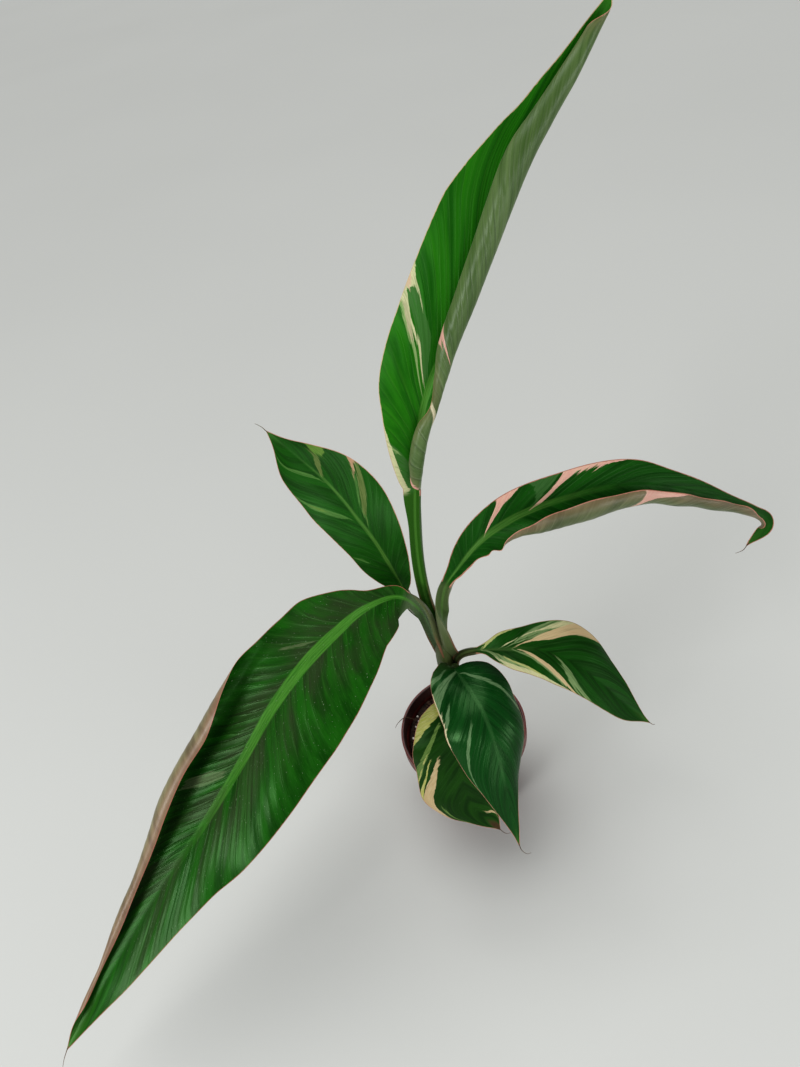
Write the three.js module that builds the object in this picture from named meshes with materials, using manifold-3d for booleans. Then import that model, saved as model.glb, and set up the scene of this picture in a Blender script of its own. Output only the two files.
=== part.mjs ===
// A young variegated banana plant with seven leaves, standing in soil in a round nursery pot.
// Millimetres, +Z up, origin at the centre of the pot's underside, front of the plant towards -Y.
import * as THREE from 'three';
import { mergeVertices } from 'three/addons/utils/BufferGeometryUtils.js';
import Module from 'manifold-3d';

const wasm = await Module();
wasm.setup();

// Pot
const POT_HEIGHT = 92;
const RIM_RADIUS = 52.5;
const COLLAR_HEIGHT = 13;
const COLLAR_STEP = 2.4;
const BASE_RADIUS = 37;
const WALL = 1.5;
const FLOOR_RAISE = 2;
const DRAIN_RADIUS = 3.6;
const DRAIN_CIRCLE = 24;
const DRAIN_COUNT = 8;
const POT_SEGMENTS = 48;

// Soil
const SOIL_LEVEL = 80;
const SOIL_SEGMENTS = 40;
const SOIL_RINGS = 8;

// Pseudostem
const STEM_FOOT = 46;
const STEM_FOOT_RADIUS = 9.5;
const STEM_TOP = 212;
const STEM_SEGMENTS = 24;
const SHEATH_EDGE = 0.8;

// Clearance between pieces that touch on the real plant
const GAP = 0.3;

// Leaf blades
const BLADE_THICKNESS = 0.8;
const MIDRIB_DEPTH = 4.2;
const MIDRIB_TIP_DEPTH = 1.2;
const MIDRIB_REACH = 3.2;
const MIDRIB_TIP_REACH = 1.2;
const PETIOLE_DEPTH = 5.2;
const PETIOLE_LIFT = 38;

function cleanMesh(geometry) {
  geometry.deleteAttribute('normal');
  geometry.deleteAttribute('uv');
  const merged = mergeVertices(geometry, 1e-4);
  const index = [];
  const source = merged.index.array;
  for (let i = 0; i < source.length; i += 3) {
    const [a, b, c] = [source[i], source[i + 1], source[i + 2]];
    if (a !== b && b !== c && c !== a) {
      index.push(a, b, c);
    }
  }
  merged.setIndex(index);
  return merged;
}

function toSolid(geometry) {
  const mesh = cleanMesh(geometry);
  return new wasm.Manifold(new wasm.Mesh({
    numProp: 3,
    vertProperties: new Float32Array(mesh.attributes.position.array),
    triVerts: new Uint32Array(mesh.index.array),
  }));
}

function toGeometry(solid) {
  const mesh = solid.getMesh();
  const geometry = new THREE.BufferGeometry();
  const positions = new Float32Array(mesh.vertProperties);
  geometry.setAttribute('position', new THREE.BufferAttribute(positions, 3));
  geometry.setIndex([...mesh.triVerts]);
  geometry.computeVertexNormals();
  return geometry;
}

// A profile of [radius, height] pairs turned round the vertical axis.
function turned(profile, segments) {
  const points = profile.map(([radius, height]) => new THREE.Vector2(radius, height));
  return cleanMesh(new THREE.LatheGeometry(points, segments).rotateX(Math.PI / 2));
}

function largestBody(solid) {
  return solid.decompose().sort((a, b) => b.volume() - a.volume())[0];
}

// A smooth curve through the rows of a table whose first column is the position along it.
function sampleTable(rows, at) {
  const last = rows.length - 1;
  const slope = (i, k) => {
    const a = rows[Math.max(0, i - 1)];
    const b = rows[Math.min(last, i + 1)];
    return (b[k] - a[k]) / (b[0] - a[0]);
  };
  const x = Math.min(rows[last][0], Math.max(rows[0][0], at));
  let i = 0;
  while (i < last - 1 && x >= rows[i + 1][0]) {
    i += 1;
  }
  const step = rows[i + 1][0] - rows[i][0];
  const t = (x - rows[i][0]) / step;
  const t2 = t * t;
  const t3 = t2 * t;
  return rows[i].slice(1).map((value, n) => {
    const k = n + 1;
    return (2 * t3 - 3 * t2 + 1) * value + (t3 - 2 * t2 + t) * step * slope(i, k)
      + (3 * t2 - 2 * t3) * rows[i + 1][k] + (t3 - t2) * step * slope(i + 1, k);
  });
}

// One half of a cross-section, from the midrib outwards. The surface starts at the angle lift above
// the leaf's own level and turns through curl on its way to the margin, from the fraction fold on.
function halfSection([width, lift, curl, fold], ripple, fractions) {
  const steps = 4;
  const span = Math.max(0.05, width);
  const bend = Math.min(0.8, Math.max(0, fold));
  const angleAt = (x) => THREE.MathUtils.degToRad(lift + curl * Math.max(0, (x - bend) / (1 - bend)));
  const points = [];
  let out = 0;
  let up = 0;
  let from = 0;
  for (const x of fractions) {
    for (let k = 0; k < steps; k += 1) {
      const middle = from + (x - from) * (k + 0.5) / steps;
      out += Math.cos(angleAt(middle)) * span * (x - from) / steps;
      up += Math.sin(angleAt(middle)) * span * (x - from) / steps;
    }
    from = x;
    const angle = angleAt(x);
    const wave = ripple * x * x;
    points.push({
      out: out - wave * Math.sin(angle),
      up: up + wave * Math.cos(angle),
      angle,
      reach: x * span,
    });
  }
  return points;
}

// A leaf with its petiole as one closed slab. Its path runs from the root of the petiole to the tip,
// its facing vectors say where the upper side looks, and its stations give each half-section.
function leafGeometry(leaf, grow = 0) {
  const curve = new THREE.CatmullRomCurve3(leaf.path.map((p) => new THREE.Vector3(...p)));
  curve.curveType = 'catmullrom';
  curve.arcLengthDivisions = 400;
  const stations = leaf.stations.map(([at, left, right]) => [at, ...left, ...right]);
  const fractions = [];
  for (let k = 0; k <= leaf.columns; k += 1) {
    fractions.push((k / leaf.columns) ** leaf.spread);
  }
  const rows = [];
  for (let k = 0; k < leaf.petioleRows; k += 1) {
    rows.push({ at: leaf.bladeFrom * k / leaf.petioleRows, blade: -1, petiole: k / leaf.petioleRows });
  }
  for (let k = 0; k <= leaf.bladeRows; k += 1) {
    const blade = (k / leaf.bladeRows) ** 1.15;
    rows.push({ at: leaf.bladeFrom + (1 - leaf.bladeFrom) * blade, blade, petiole: 1 });
  }
  const top = [];
  const bottom = [];
  for (const { at, blade, petiole } of rows) {
    const centre = curve.getPointAt(at);
    const tangent = curve.getPointAt(Math.min(1, at + 0.002));
    tangent.sub(curve.getPointAt(Math.max(0, at - 0.002))).normalize();
    const facing = new THREE.Vector3(...sampleTable(leaf.facing, at));
    const normal = facing.addScaledVector(tangent, -facing.dot(tangent)).normalize();
    const side = new THREE.Vector3().crossVectors(tangent, normal);
    const width = THREE.MathUtils.lerp(leaf.petiole[0], leaf.petiole[1], petiole);
    const isBlade = blade >= 0;
    const table = isBlade ? sampleTable(stations, blade)
      : [width, PETIOLE_LIFT, 0, 0, width, PETIOLE_LIFT, 0, 0];
    const along = Math.max(0, blade);
    const depth = isBlade ? THREE.MathUtils.lerp(MIDRIB_DEPTH, MIDRIB_TIP_DEPTH, along ** 0.7)
      : THREE.MathUtils.lerp(leaf.petiole[2], PETIOLE_DEPTH, petiole);
    const reach = isBlade ? THREE.MathUtils.lerp(MIDRIB_REACH, MIDRIB_TIP_REACH, along) : MIDRIB_REACH;
    const topRow = [];
    const bottomRow = [];
    const place = (point, sign) => {
      const rib = Math.exp(-((point.reach / (reach * leaf.ribScale)) ** 2));
      const surface = centre.clone().addScaledVector(side, sign * point.out).addScaledVector(normal, point.up);
      const outward = side.clone().multiplyScalar(-sign * Math.sin(point.angle));
      outward.addScaledVector(normal, Math.cos(point.angle));
      const thick = BLADE_THICKNESS + (depth * leaf.ribScale - BLADE_THICKNESS) * rib;
      return [surface.clone().addScaledVector(outward, grow), surface.addScaledVector(outward, -thick - grow)];
    };
    for (const sign of [-1, 1]) {
      const offset = sign < 0 ? 0 : 4;
      const half = table.slice(offset, offset + 4);
      half[0] += grow;
      const [size, count, phase] = leaf.ripple[sign < 0 ? 0 : 1];
      const swell = Math.min(1, half[0] / 15);
      const ripple = isBlade ? size * Math.sin(2 * Math.PI * (count * along + phase)) * swell : 0;
      const placed = halfSection(half, ripple, fractions).map((point) => place(point, sign));
      if (sign < 0) {
        placed.reverse();
      } else {
        placed.shift();
      }
      for (const [upper, lower] of placed) {
        topRow.push(upper);
        bottomRow.push(lower);
      }
    }
    top.push(topRow);
    bottom.push(bottomRow);
  }
  return slab(top, bottom);
}

// A closed slab between two grids of points, with both faces split into triangles alike.
function slab(top, bottom) {
  const rowCount = top.length;
  const columnCount = top[0].length;
  const size = rowCount * columnCount;
  const positions = [];
  for (const grid of [top, bottom]) {
    for (const row of grid) {
      for (const point of row) {
        positions.push(point.x, point.y, point.z);
      }
    }
  }
  const index = [];
  const quad = (a, b, c, d) => index.push(a, b, c, a, c, d);
  const id = (r, c) => r * columnCount + c;
  for (let r = 0; r < rowCount - 1; r += 1) {
    for (let c = 0; c < columnCount - 1; c += 1) {
      const [a, b, d, e] = [id(r, c), id(r, c + 1), id(r + 1, c), id(r + 1, c + 1)];
      quad(a, b, e, d);
      index.push(a + size, e + size, b + size, a + size, d + size, e + size);
    }
    const right = columnCount - 1;
    quad(id(r, 0), id(r + 1, 0), id(r + 1, 0) + size, id(r, 0) + size);
    quad(id(r, right) + size, id(r + 1, right) + size, id(r + 1, right), id(r, right));
  }
  for (let c = 0; c < columnCount - 1; c += 1) {
    const end = rowCount - 1;
    quad(id(0, c) + size, id(0, c + 1) + size, id(0, c + 1), id(0, c));
    quad(id(end, c), id(end, c + 1), id(end, c + 1) + size, id(end, c) + size);
  }
  const geometry = new THREE.BufferGeometry();
  geometry.setAttribute('position', new THREE.Float32BufferAttribute(positions, 3));
  geometry.setIndex(index);
  return geometry;
}

// Pot: a thin tapering shell with a straight collar under the rim. Its flat underside has a shallow
// ring-shaped recess with the drain holes.
function potSolid() {
  const body = RIM_RADIUS - COLLAR_STEP;
  const shoulder = POT_HEIGHT - COLLAR_HEIGHT;
  const shell = turned([
    [0, 0],
    [DRAIN_CIRCLE - 8, 0],
    [DRAIN_CIRCLE - 6.5, FLOOR_RAISE],
    [DRAIN_CIRCLE + 6.5, FLOOR_RAISE],
    [DRAIN_CIRCLE + 8, 0],
    [BASE_RADIUS - 0.8, 0],
    [BASE_RADIUS, 0.8],
    [body, shoulder - 1],
    [RIM_RADIUS - 0.6, shoulder],
    [RIM_RADIUS, shoulder + 0.8],
    [RIM_RADIUS, POT_HEIGHT - 0.8],
    [RIM_RADIUS - 0.8, POT_HEIGHT],
    [RIM_RADIUS - WALL - 0.6, POT_HEIGHT],
    [RIM_RADIUS - WALL - 1, POT_HEIGHT - 0.6],
    [RIM_RADIUS - WALL - 1.4, shoulder + 3],
    [body - WALL, shoulder],
    [BASE_RADIUS - WALL, FLOOR_RAISE + WALL + 1],
    [BASE_RADIUS - WALL - 1.2, FLOOR_RAISE + WALL],
    [0, FLOOR_RAISE + WALL],
  ], POT_SEGMENTS);
  let pot = toSolid(shell);
  for (let k = 0; k < DRAIN_COUNT; k += 1) {
    const turn = 2 * Math.PI * k / DRAIN_COUNT;
    const drill = new THREE.CylinderGeometry(DRAIN_RADIUS, DRAIN_RADIUS, 3 * WALL, 12).rotateX(Math.PI / 2);
    drill.translate(DRAIN_CIRCLE * Math.cos(turn), DRAIN_CIRCLE * Math.sin(turn), FLOOR_RAISE + WALL / 2);
    pot = pot.subtract(toSolid(drill));
  }
  return pot;
}

function soilHeight(x, y) {
  const coarse = Math.sin(0.21 * x + 1.3) * Math.cos(0.17 * y - 0.6);
  const clods = Math.sin(0.63 * x + 0.4 * y) * Math.cos(0.55 * y - 0.3 * x + 1.1);
  return SOIL_LEVEL + 1.1 * coarse + 1.3 * clods;
}

// Soil: fills the pot to a lumpy surface, with a plain hole in which the foot of the stem stands.
function soilSolid() {
  const low = FLOOR_RAISE + WALL + GAP;
  const body = RIM_RADIUS - COLLAR_STEP - WALL;
  const shoulder = POT_HEIGHT - COLLAR_HEIGHT;
  const taper = (body - BASE_RADIUS + WALL) / (shoulder - FLOOR_RAISE - WALL - 1);
  const foot = BASE_RADIUS - WALL - 1.2 - 2 * GAP;
  const brim = body - taper * 5 - 2 * GAP;
  const edge = shoulder - 5;
  const profile = [[0, low], [foot, low], [foot + 0.9, low + 1.5], [brim, edge]];
  for (let k = 0; k <= SOIL_RINGS; k += 1) {
    profile.push([(brim - 0.2) * (1 - k / SOIL_RINGS), SOIL_LEVEL]);
  }
  const block = turned(profile, SOIL_SEGMENTS);
  const position = block.attributes.position;
  for (let i = 0; i < position.count; i += 1) {
    if (position.getZ(i) > SOIL_LEVEL - 1) {
      const [x, y] = [position.getX(i), position.getY(i)];
      const fall = THREE.MathUtils.smoothstep(Math.hypot(x, y), 0.75 * brim, brim);
      position.setZ(i, soilHeight(x, y) - 2.5 * fall);
    }
  }
  const depth = SOIL_LEVEL + 10 - STEM_FOOT + GAP;
  const radius = STEM_FOOT_RADIUS + SHEATH_EDGE + GAP;
  const hole = new THREE.CylinderGeometry(radius, radius, depth, 32).rotateX(Math.PI / 2);
  hole.translate(0, 0, STEM_FOOT - GAP + depth / 2);
  return toSolid(block).subtract(toSolid(hole));
}

// Pseudostem: sheaths wrapped round each other, whose free edges show as slanting steps.
function stemSolid(grow = 0) {
  const profile = [
    [0, STEM_FOOT], [5, STEM_FOOT], [8.4, STEM_FOOT + 3], [STEM_FOOT_RADIUS, STEM_FOOT + 9],
    [9.5, 66], [9.3, 78], [9, 90], [8.6, 102], [8.2, 115], [7.8, 128], [7.4, 142],
    [7.1, 156], [6.8, 170], [6.5, 183], [6.1, 194], [5.3, 203], [3.6, 209], [0, STEM_TOP],
  ];
  const stem = turned(profile, STEM_SEGMENTS);
  const position = stem.attributes.position;
  for (let i = 0; i < position.count; i += 1) {
    const [x, y, z] = [position.getX(i), position.getY(i), position.getZ(i)];
    const radius = Math.hypot(x, y);
    const turn = Math.atan2(y, x) / (2 * Math.PI);
    const first = turn + 0.004 * z;
    const second = turn - 0.003 * z + 0.45;
    const ledge = SHEATH_EDGE * (first - Math.floor(first) + second - Math.floor(second) - 1) / 2;
    const full = radius < 0.01 ? 0 : (radius + ledge * Math.min(1, radius / 6) + grow) / radius;
    const lean = -2.2 * THREE.MathUtils.smoothstep(z, 110, 200);
    const lift = z === STEM_TOP ? grow : 0;
    position.setXYZ(i, x * full + lean, y * full, z + lift);
  }
  return toSolid(stem);
}

// Each station is [position along the blade, left half, right half], each half being
// [width, lift, curl, fold]. Left and right are the leaf's own, seen from the root with its upper
// side up. A petiole is [half-width at its root, half-width at the blade, depth at its root].
const LEAVES = {
  // The youngest large leaf, upright, its right half rolled into a long scroll over the midrib.
  leaf_upright: {
    path: [
      [0, 3, 198], [-2, 4, 228], [-5, 10, 251], [-4, 18, 284], [2, 26, 324], [13, 35, 369],
      [27, 42, 402], [45, 48, 429], [71, 57, 469], [97, 66, 510], [114, 71, 529], [138, 77, 553],
      [153, 80, 575],
    ],
    bladeFrom: 0.33,
    facing: [[0, -0.3, -1, 0.25], [0.36, -0.45, -1, 0.3], [1, -0.2, -1, 0.35]],
    petiole: [5, 4, 3.4],
    ribScale: 1,
    stations: [
      [0, [8, 35, 0, 0], [4, 30, 0, 0]],
      [0.02, [11, 30, 0, 0], [12, 10, 200, 0.1]],
      [0.08, [17, 20, 0, 0], [23, 10, 280, 0.1]],
      [0.16, [24.5, 20, -20, 0], [22, 10, 250, 0.2]],
      [0.21, [30, 15, -20, 0], [17, 15, 220, 0.45]],
      [0.27, [33, 15, -25, 0], [22, 15, 240, 0.3]],
      [0.33, [35, 12, -25, 0], [30, 10, 285, 0.1]],
      [0.45, [35, 10, -20, 0], [34, 10, 290, 0.05]],
      [0.6, [32, 10, -15, 0], [36, 5, 300, 0]],
      [0.66, [26.5, 10, -15, 0], [37, 5, 300, 0]],
      [0.72, [19.5, 10, -10, 0], [36, 5, 300, 0]],
      [0.78, [14, 10, -10, 0], [31, 5, 300, 0]],
      [0.85, [11, 15, 0, 0], [25, 10, 300, 0]],
      [0.93, [7, 15, 0, 0], [15, 20, 260, 0]],
      [1, [0.4, 0, 0, 0], [0.4, 0, 0, 0]],
    ],
    ripple: [[0, 0, 0], [0, 0, 0]],
    columns: 9,
    spread: 1.25,
    petioleRows: 6,
    bladeRows: 24,
  },
  // A mid-sized leaf that points up to the left and back, nearly flat.
  leaf_upper_left: {
    path: [
      [-2, 6, 190], [-6, 10, 220], [-17, 16, 238], [-18, 20, 247], [-24, 32, 266], [-31, 43, 286],
      [-39, 55, 300], [-45, 64, 310], [-54, 76, 322], [-68, 90, 336], [-86, 106, 354],
    ],
    bladeFrom: 0.3,
    facing: [[0, -0.6, -0.8, 0.5], [0.38, -0.5, -0.85, 0.6], [1, -0.3, -0.85, 0.5]],
    petiole: [4.5, 3, 3],
    ribScale: 0.75,
    stations: [
      [0, [3, 40, 0, 0], [4, 40, 0, 0]],
      [0.03, [7, 25, -10, 0], [9, 25, -10, 0]],
      [0.1, [14, 20, -10, 0], [14.5, 20, -10, 0]],
      [0.2, [21.5, 15, -15, 0], [20, 15, -15, 0]],
      [0.4, [25, 10, -15, 0], [29, 10, -15, 0]],
      [0.6, [28, 10, -15, 0], [28, 10, -15, 0]],
      [0.8, [21, 10, -10, 0], [14, 10, -10, 0]],
      [0.93, [6.5, 10, 0, 0], [4.2, 10, 0, 0]],
      [1, [0.4, 0, 0, 0], [0.4, 0, 0, 0]],
    ],
    ripple: [[1, 2.5, 0.1], [1, 3, 0.4]],
    columns: 5,
    spread: 1.5,
    petioleRows: 4,
    bladeRows: 15,
  },
  // The largest leaf, arching down to the left, its far margin rolled up and over.
  leaf_lower_left: {
    path: [
      [-2, 0, 190], [-6, 0, 215], [-11, -1, 250], [-24, 3, 266], [-47, -5, 272], [-71, -14, 265],
      [-97, -24, 252], [-126, -39, 233], [-157, -60, 208], [-187, -79, 185], [-218, -94, 160],
      [-250, -112, 136], [-284, -137, 112], [-321, -169, 88],
    ],
    bladeFrom: 0.16,
    facing: [[0, -1, -0.5, 0.3], [0.2, -0.2, -0.6, 1], [0.5, -0.4, -0.5, 1], [1, -0.5, -0.7, 0.8]],
    petiole: [6, 4.2, 3.4],
    ribScale: 1.25,
    stations: [
      [0, [9, 20, 0, 0], [4, 20, 0, 0]],
      [0.015, [13, 5, -10, 0], [7, 0, 0, 0]],
      [0.06, [24.5, 0, -20, 0], [10, -5, 0, 0]],
      [0.1, [33, 0, -25, 0], [22, 0, 10, 0]],
      [0.15, [42, 0, -25, 0], [33, 0, 10, 0]],
      [0.2, [48, 0, -25, 0], [35, 0, 15, 0.3]],
      [0.25, [51, 0, -25, 0], [38, 5, 50, 0.6]],
      [0.31, [52.5, 0, -25, 0], [49, 5, 140, 0.5]],
      [0.4, [50.5, 5, -25, 0], [57, 5, 200, 0.48]],
      [0.48, [47, 5, -25, 0], [58, 5, 200, 0.48]],
      [0.55, [42.5, 5, -20, 0], [54, 5, 210, 0.48]],
      [0.62, [35.5, 5, -20, 0], [44, 5, 210, 0.45]],
      [0.7, [30, 5, -15, 0], [34, 5, 220, 0.45]],
      [0.78, [24.5, 5, -15, 0], [24, 5, 220, 0.4]],
      [0.85, [18.5, 8, -10, 0], [17, 5, 220, 0.4]],
      [0.93, [9, 10, 0, 0], [9, 10, 180, 0.3]],
      [1, [0.4, 0, 0, 0], [0.4, 0, 0, 0]],
    ],
    ripple: [[1.2, 4, 0.2], [0.8, 5, 0]],
    columns: 8,
    spread: 1.3,
    petioleRows: 5,
    bladeRows: 24,
  },
  // A long leaf that arches over to the right, its near half rolled up, its tip hooked down.
  leaf_upper_right: {
    path: [
      [4, 1, 192], [2, -3, 214], [3, -3, 246], [9, -2, 269], [20, -1, 284], [38, 0, 303],
      [56, 1, 313], [75, 2, 318], [93, 3, 319], [119, 4, 319], [148, 6, 313], [176, 7, 299],
      [207, 8, 279], [232, 9, 259], [243, 8, 241], [231, 6, 225],
    ],
    bladeFrom: 0.22,
    facing: [[0, 0.9, 0.3, 0.3], [0.27, -0.2, -0.5, 0.8], [1, 0.1, -0.6, 0.8]],
    petiole: [6, 4, 3.4],
    ribScale: 1,
    stations: [
      [0, [4, 40, 0, 0], [4, 40, 0, 0]],
      [0.03, [6, 30, 0, 0], [5, 20, 20, 0]],
      [0.08, [10.5, 30, 0, 0], [7, 10, 30, 0]],
      [0.15, [14, 20, -5, 0], [14.5, 0, 60, 0]],
      [0.22, [16.5, 20, -10, 0], [26, -10, 130, 0.1]],
      [0.3, [17, 20, -10, 0], [35, -15, 190, 0.2]],
      [0.42, [17.5, 15, -20, 0], [36, -15, 200, 0.2]],
      [0.52, [16, 15, -20, 0], [29, -15, 200, 0.2]],
      [0.6, [11.5, 15, -20, 0], [27, -15, 200, 0.2]],
      [0.7, [7.5, 15, -20, 0], [23, -15, 200, 0.2]],
      [0.8, [3.5, 15, -10, 0], [16, -10, 200, 0.2]],
      [0.87, [3.5, 15, -10, 0], [10, -10, 150, 0.2]],
      [0.93, [6.5, 20, 0, 0], [6, 0, 90, 0.1]],
      [1, [0.4, 0, 0, 0], [0.4, 0, 0, 0]],
    ],
    ripple: [[0.8, 5, 0], [1, 9, 0.3]],
    columns: 8,
    spread: 1.25,
    petioleRows: 6,
    bladeRows: 24,
  },
  // A small drooping leaf at the right.
  leaf_lower_right: {
    path: [
      [4, -4, 178], [8, -6, 190], [15, -10, 200], [27, -15, 208], [46, -23, 211], [65, -27, 208],
      [86, -37, 197], [103, -49, 180], [118, -60, 161], [132, -67, 144],
    ],
    bladeFrom: 0.2,
    facing: [[0, -0.5, -0.5, 0.8], [0.26, -0.1, -0.3, 1], [1, 0.3, -0.4, 0.9]],
    petiole: [4, 2.4, 2.6],
    ribScale: 0.7,
    stations: [
      [0, [2.2, 40, 0, 0], [2.6, 40, 0, 0]],
      [0.05, [5.6, 30, -10, 0], [4.6, 30, -20, 0]],
      [0.12, [12.4, 30, -10, 0], [12, 30, -20, 0]],
      [0.25, [18, 20, -30, 0], [19.4, 20, -40, 0]],
      [0.35, [24.5, 20, -30, 0], [21, 20, -40, 0]],
      [0.45, [29.5, 15, -40, 0], [20.5, 10, -40, 0]],
      [0.55, [27.5, 15, -40, 0], [19, 10, -40, 0]],
      [0.65, [23, 10, -35, 0], [16.5, 10, -35, 0]],
      [0.75, [16, 10, -35, 0], [14.2, 10, -35, 0]],
      [0.85, [9, 10, -20, 0], [11, 10, -20, 0]],
      [0.95, [2.5, 10, 0, 0], [3.5, 10, 0, 0]],
      [1, [0.4, 0, 0, 0], [0.4, 0, 0, 0]],
    ],
    ripple: [[1.2, 2.5, 0.2], [0.8, 3, 0]],
    columns: 5,
    spread: 1.5,
    petioleRows: 4,
    bladeRows: 15,
  },
  // A short broad leaf that hangs forwards over the rim, its sides arched down.
  leaf_front: {
    path: [
      [1, -4, 174], [3, -9, 187], [3, -14, 192], [6, -26, 196], [10, -41, 197], [14, -55, 194],
      [16, -68, 186], [17, -80, 172], [17, -91, 156], [17, -101, 138], [17, -117, 110],
    ],
    bladeFrom: 0.11,
    facing: [[0, 0, -0.5, 1], [0.2, 0, -0.3, 1], [1, 0.1, -1, 0.5]],
    petiole: [4.5, 3.4, 3],
    ribScale: 0.75,
    stations: [
      [0, [5, 20, 0, 0], [12, 20, 0, 0]],
      [0.02, [9, 15, -15, 0], [19, 15, -15, 0]],
      [0.08, [24, 10, -40, 0], [25.5, 10, -40, 0]],
      [0.2, [31, 5, -50, 0], [31, 5, -50, 0]],
      [0.3, [33, 0, -60, 0], [32.5, 5, -50, 0]],
      [0.4, [31.5, 0, -60, 0], [33, 5, -50, 0]],
      [0.5, [27.5, 0, -60, 0], [31.5, 5, -50, 0]],
      [0.6, [22, -5, -60, 0], [26.5, 5, -40, 0]],
      [0.7, [14, -5, -50, 0], [17.5, 5, -30, 0]],
      [0.8, [6.5, 0, -30, 0], [10.5, 5, -20, 0]],
      [0.93, [2.4, 5, 0, 0], [3.1, 5, 0, 0]],
      [1, [0.4, 0, 0, 0], [0.4, 0, 0, 0]],
    ],
    ripple: [[0.8, 2.5, 0], [1, 2.5, 0.3]],
    columns: 5,
    spread: 1.5,
    petioleRows: 3,
    bladeRows: 15,
  },
  // The oldest and lowest leaf, hanging down in front of the pot beneath the front leaf.
  leaf_low: {
    path: [
      [0, -5, 122], [-1, -12, 143], [-6, -17, 161], [-7, -30, 163], [-9, -45, 149], [-11, -59, 121],
      [-8, -70, 90], [8, -82, 66],
    ],
    bladeFrom: 0.27,
    facing: [[0, 0, -0.6, 1], [0.3, -0.1, -0.5, 1], [1, 0, -1, 0.4]],
    petiole: [4, 2.8, 2.8],
    ribScale: 0.7,
    stations: [
      [0, [8, 30, 0, 0], [8, 30, 0, 0]],
      [0.05, [15, 15, -10, 0], [20, 15, -10, 0]],
      [0.12, [21, 15, -30, 0], [27, 10, -20, 0]],
      [0.2, [25.5, 10, -40, 0], [31.5, 10, -30, 0]],
      [0.3, [28, 10, -40, 0], [34, 10, -30, 0]],
      [0.45, [30, 5, -50, 0], [36.5, 5, -40, 0]],
      [0.55, [29, 5, -50, 0], [37.5, 5, -40, 0]],
      [0.65, [27, 5, -40, 0], [36, 5, -40, 0]],
      [0.74, [24, 5, -40, 0], [26.5, 5, -40, 0]],
      [0.82, [19, 5, -20, 0], [14, 5, -20, 0]],
      [0.93, [8, 5, 0, 0], [5, 5, 0, 0]],
      [1, [0.4, 0, 0, 0], [0.4, 0, 0, 0]],
    ],
    ripple: [[1, 2, 0], [1.2, 3, 0.2]],
    columns: 5,
    spread: 1.5,
    petioleRows: 4,
    bladeRows: 15,
  },
};

const COLOURS = {
  pot: [0x7a3a2c, 0.55],
  soil: [0x2c221b, 0.95],
  pseudostem: [0x6d7a45, 0.5],
  leaf_upright: [0x2f7d2a, 0.4],
  leaf_upper_left: [0x1e5a2c, 0.4],
  leaf_lower_left: [0x2a6a34, 0.45],
  leaf_upper_right: [0x235f2c, 0.4],
  leaf_lower_right: [0x24602c, 0.35],
  leaf_front: [0x1f5634, 0.3],
  leaf_low: [0x6f7a35, 0.4],
};

const solids = { pot: potSolid(), soil: soilSolid(), pseudostem: stemSolid() };
const grownStem = stemSolid(GAP);

// The petioles that part at the head of the stem are cut clear of the stem and of one another.
const CLEAR_OF = {
  leaf_upright: ['leaf_lower_left', 'leaf_upper_right'],
  leaf_upper_left: ['leaf_upright', 'leaf_lower_left', 'leaf_upper_right'],
  leaf_lower_left: ['leaf_upper_right'],
  leaf_lower_right: ['leaf_front'],
};

for (const [name, leaf] of Object.entries(LEAVES)) {
  let solid = toSolid(leafGeometry(leaf)).subtract(grownStem);
  for (const neighbour of CLEAR_OF[name] ?? []) {
    solid = solid.subtract(toSolid(leafGeometry(LEAVES[neighbour], GAP)));
  }
  solids[name] = largestBody(solid);
}

const group = new THREE.Group();
for (const [name, solid] of Object.entries(solids)) {
  const [color, roughness] = COLOURS[name];
  const material = new THREE.MeshStandardMaterial({ color, roughness, metalness: 0 });
  const mesh = new THREE.Mesh(toGeometry(solid), material);
  mesh.name = name;
  group.add(mesh);
}

export default group;
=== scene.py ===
import math
import random
from functools import partial

import bpy
import numpy as np
from mathutils import Matrix, Vector, noise


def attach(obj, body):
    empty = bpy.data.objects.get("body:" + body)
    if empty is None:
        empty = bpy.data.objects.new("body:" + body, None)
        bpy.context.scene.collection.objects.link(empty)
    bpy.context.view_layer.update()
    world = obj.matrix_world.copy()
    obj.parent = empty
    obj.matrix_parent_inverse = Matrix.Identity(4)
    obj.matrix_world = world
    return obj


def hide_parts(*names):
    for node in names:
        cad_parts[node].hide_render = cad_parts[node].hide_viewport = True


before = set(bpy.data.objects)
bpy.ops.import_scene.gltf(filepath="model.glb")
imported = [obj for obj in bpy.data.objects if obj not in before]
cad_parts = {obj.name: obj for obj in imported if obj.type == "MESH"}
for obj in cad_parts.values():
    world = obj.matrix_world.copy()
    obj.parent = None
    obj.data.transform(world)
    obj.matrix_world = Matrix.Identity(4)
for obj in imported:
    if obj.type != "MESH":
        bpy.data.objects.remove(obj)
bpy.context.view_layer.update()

# Pot: a round nursery pot, injection moulded in thin maroon plastic, with a straight collar under its
# rim. Its flat foot has a ring-shaped recess that holds the drain holes.
POT_HEIGHT = 0.092
RIM_RADIUS = 0.0525
COLLAR_HEIGHT = 0.013
COLLAR_STEP = 0.0024
FOOT_RADIUS = 0.037
POT_WALL = 0.0015
FLOOR_RAISE = 0.002
DRAIN_RADIUS = 0.0036
DRAIN_CIRCLE = 0.024
DRAIN_COUNT = 8
INNER_WALL = (0.0513, 0.0508)
RECESS_REACH = 0.0065
FOOT_CHAMFER = 0.0012
POT_HOOPS = (0.012, 0.060, 0.064)
POT_SEGMENTS = 160
POT_BODY_RADIUS = RIM_RADIUS - COLLAR_STEP
POT_SHOULDER = POT_HEIGHT - COLLAR_HEIGHT


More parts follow.
